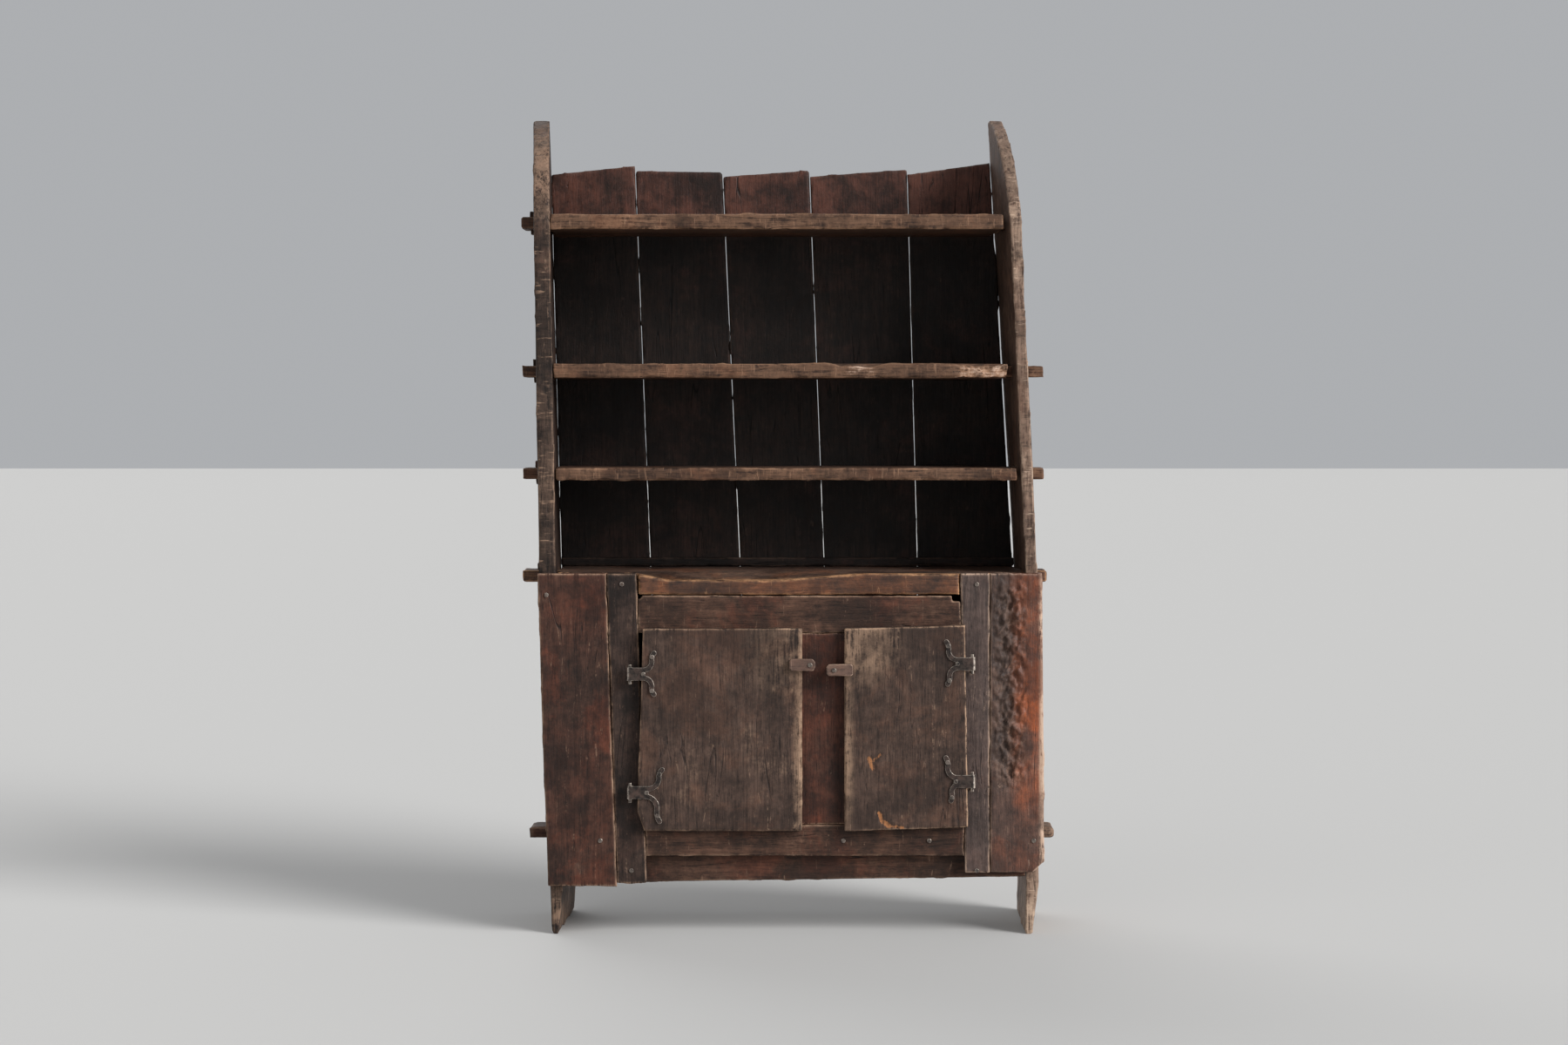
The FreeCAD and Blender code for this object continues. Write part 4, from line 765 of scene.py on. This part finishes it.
# Turn buttons and tenon wedges
turnButton = {"cell": 0.0011, "rounding": 4, "grain": "x", "waves": 0.0, "grooves": 0.0008, "chips": 0.002}
for seed, node in ((24.4, "left_button"), (25.9, "right_button")):
    piece, edges = agedBoard(node, seed, turnButton)
    finishPiece(piece, edges, seed, node, "peg_wood", node, wood("peg", "x"))
tenonWedge = {
    "cell": 0.002, "rounding": 3, "grain": "z", "waves": 0.0, "grooves": 0.0008, "chips": 0.002,
    "seed": 26.5,
}
piece, edges = agedBoard("tenon_wedges", tenonWedge["seed"], tenonWedge)
finishPiece(piece, edges, tenonWedge["seed"], "case", "peg_wood", "tenon_wedges", wood("case", "z"))
print("buttons and wedges aged")

# Wrought iron: dark scale, brown rust, and pale rubbed edges that are partly a painted highlight
ironLook = {
    "black": tone(31, 27, 25), "grey": tone(70, 60, 54), "rust": tone(68, 48, 39),
    "paintedHighlight": tone(222, 208, 194),
    # each pattern's scale, detail, roughness and distortion
    "scale": (120.0, 5.0, 0.6, 0.0), "rustSpread": (38.0, 5.0, 0.65, 0.4), "grit": (420.0, 3.0, 0.6, 0.0),
    "greyFade": (0.35, 0.7), "rustFade": (0.42, 0.66), "rusted": 0.8, "rubbedFade": (0.3, 0.6),
    "metal": 0.55, "metalRust": 0.5, "metalRubbed": 0.3, "rough": 0.46, "roughRust": 0.3, "roughRubbed": 0.12,
    "scaleRelief": 0.6, "gritRelief": 0.25, "rustRelief": 0.5, "relief": 0.5, "reliefHeight": 0.001,
}


def wroughtIron(name, look):
    graph = Graph(name)
    place = graph.node("ShaderNodeTexCoord", {}, output=3)
    scale = graph.noise(place, *look["scale"])
    rustSpread = graph.noise(place, *look["rustSpread"])
    grit = graph.noise(place, *look["grit"])
    rust = rustSpread.span(*look["rustFade"]) * look["rusted"]
    # Pale rubbed edges, partly a painted highlight along the arrises
    rubbed = graph.attribute("wear") * scale.span(*look["rubbedFade"])
    colour = graph.blend(look["black"], look["grey"], scale.span(*look["greyFade"]))
    colour = graph.blend(graph.blend(colour, look["rust"], rust), look["paintedHighlight"], rubbed)
    graph.feed(graph.shader.inputs["Base Color"], colour)
    metal = look["metal"] - rust * look["metalRust"] + rubbed * look["metalRubbed"]
    graph.feed(graph.shader.inputs["Metallic"], metal)
    rough = look["rough"] + rust * look["roughRust"] - rubbed * look["roughRubbed"]
    graph.feed(graph.shader.inputs["Roughness"], rough)
    relief = scale * look["scaleRelief"] + grit * look["gritRelief"] + rustSpread * look["rustRelief"]
    graph.bump(relief, look["relief"], look["reliefHeight"])
    return graph.material


# Hammered straps and pintles, and nails whose front-facing heads are paler, as rubbed iron and painted glints
hammering = {"size": 0.014, "detail": 1, "headTurn": (0.6, 0.95)}
strap = {"cell": 0.0009, "rounding": 2, "hammered": 0.0005, "headWearAndGlint": 0.0, "seed": 27.0}
pintle = dict(strap, seed=28.0)
strapNail = {"cell": 0.0008, "rounding": 4, "hammered": 0.0008, "headWearAndGlint": 0.15, "seed": 29.0}
caseNail = dict(strapNail, seed=30.0)
iron = wroughtIron("wrought_iron", ironLook)


def forgedPiece(node, body, shape):
    piece, edges = finePiece(node, "forged_" + node, shape)
    erode(piece, shape["hammered"], cloud(hammering["size"], hammering["detail"]), shape["seed"])
    heads = turnedTo(piece, "front", *hammering["headTurn"]) * shape["headWearAndGlint"]
    finishPiece(piece, most(edges, heads), shape["seed"], body, "wrought_iron", node, iron)


for side in ("left", "right"):
    for level in ("upper", "lower"):
        forgedPiece("%s_%s_strap" % (side, level), side + "_door", strap)
        forgedPiece("%s_%s_pintle" % (side, level), "case", pintle)
    forgedPiece(side + "_strap_nails", side + "_door", strapNail)
for node in ("button_nails", "front_nails", "back_nails"):
    forgedPiece(node, "case", caseNail)
print("ironwork forged")

# Stage: pale floor, soft light, camera where the photograph was taken from
stage = {
    "floor": tone(190, 189, 187), "floorSize": 120.0, "floorRough": 0.9, "floorPolish": 0.1,
    "world": (0.80, 0.82, 0.85, 1.0), "ambient": 0.52, "lampPlace": (0.0, 0.0, 4.0),
}
bpy.ops.object.select_all(action="DESELECT")
bpy.ops.mesh.primitive_plane_add(size=stage["floorSize"], location=(0.0, 0.0, 0.0))
floor = bpy.context.view_layer.objects.active
floor.name = "stageFloor"
floorGraph = Graph("stage_floor")
floorGraph.shader.inputs["Base Color"].default_value = stage["floor"]
floorGraph.shader.inputs["Roughness"].default_value = stage["floorRough"]
floorGraph.shader.inputs["Specular IOR Level"].default_value = stage["floorPolish"]
floor.data.materials.append(floorGraph.material)

world = bpy.data.worlds.new("studio")
world.use_nodes = True
backdrop = world.node_tree.nodes["Background"]
backdrop.inputs["Color"].default_value = stage["world"]
backdrop.inputs["Strength"].default_value = stage["ambient"]
bpy.context.scene.world = world

# Each lamp's turn, strength and softness
lamps = {
    "keyLight": ((1.03, 0.0, 0.98), 3.0, 0.5),
    "sideLight": ((1.35, 0.0, 0.92), 1.0, 0.6),
    "fillLight": ((1.05, 0.0, -0.68), 0.2, 0.9),
    "rearLight": ((1.0, 0.0, 3.59), 0.9, 0.9),
}
for name, (turn, strength, softness) in lamps.items():
    bpy.ops.object.light_add(type="SUN", location=stage["lampPlace"], rotation=turn)
    lamp = bpy.context.view_layer.objects.active
    lamp.name = name
    lamp.data.energy = strength
    lamp.data.angle = softness

photoCamera = {
    "place": (0.0, -6.656, 1.213), "turn": (1.5707963, 0.0, 0.0), "lens": 63.8, "sensor": 36.0,
    "shiftAcross": -0.0025, "shiftUp": -0.0667,
}
bpy.ops.object.camera_add(location=photoCamera["place"], rotation=photoCamera["turn"])
camera = bpy.context.view_layer.objects.active
camera.name = "photoCamera"
camera.data.lens = photoCamera["lens"]
camera.data.sensor_width = photoCamera["sensor"]
camera.data.shift_x = photoCamera["shiftAcross"]
camera.data.shift_y = photoCamera["shiftUp"]
bpy.context.scene.camera = camera
bpy.context.scene.view_settings.view_transform = "Standard"
print("stage set")
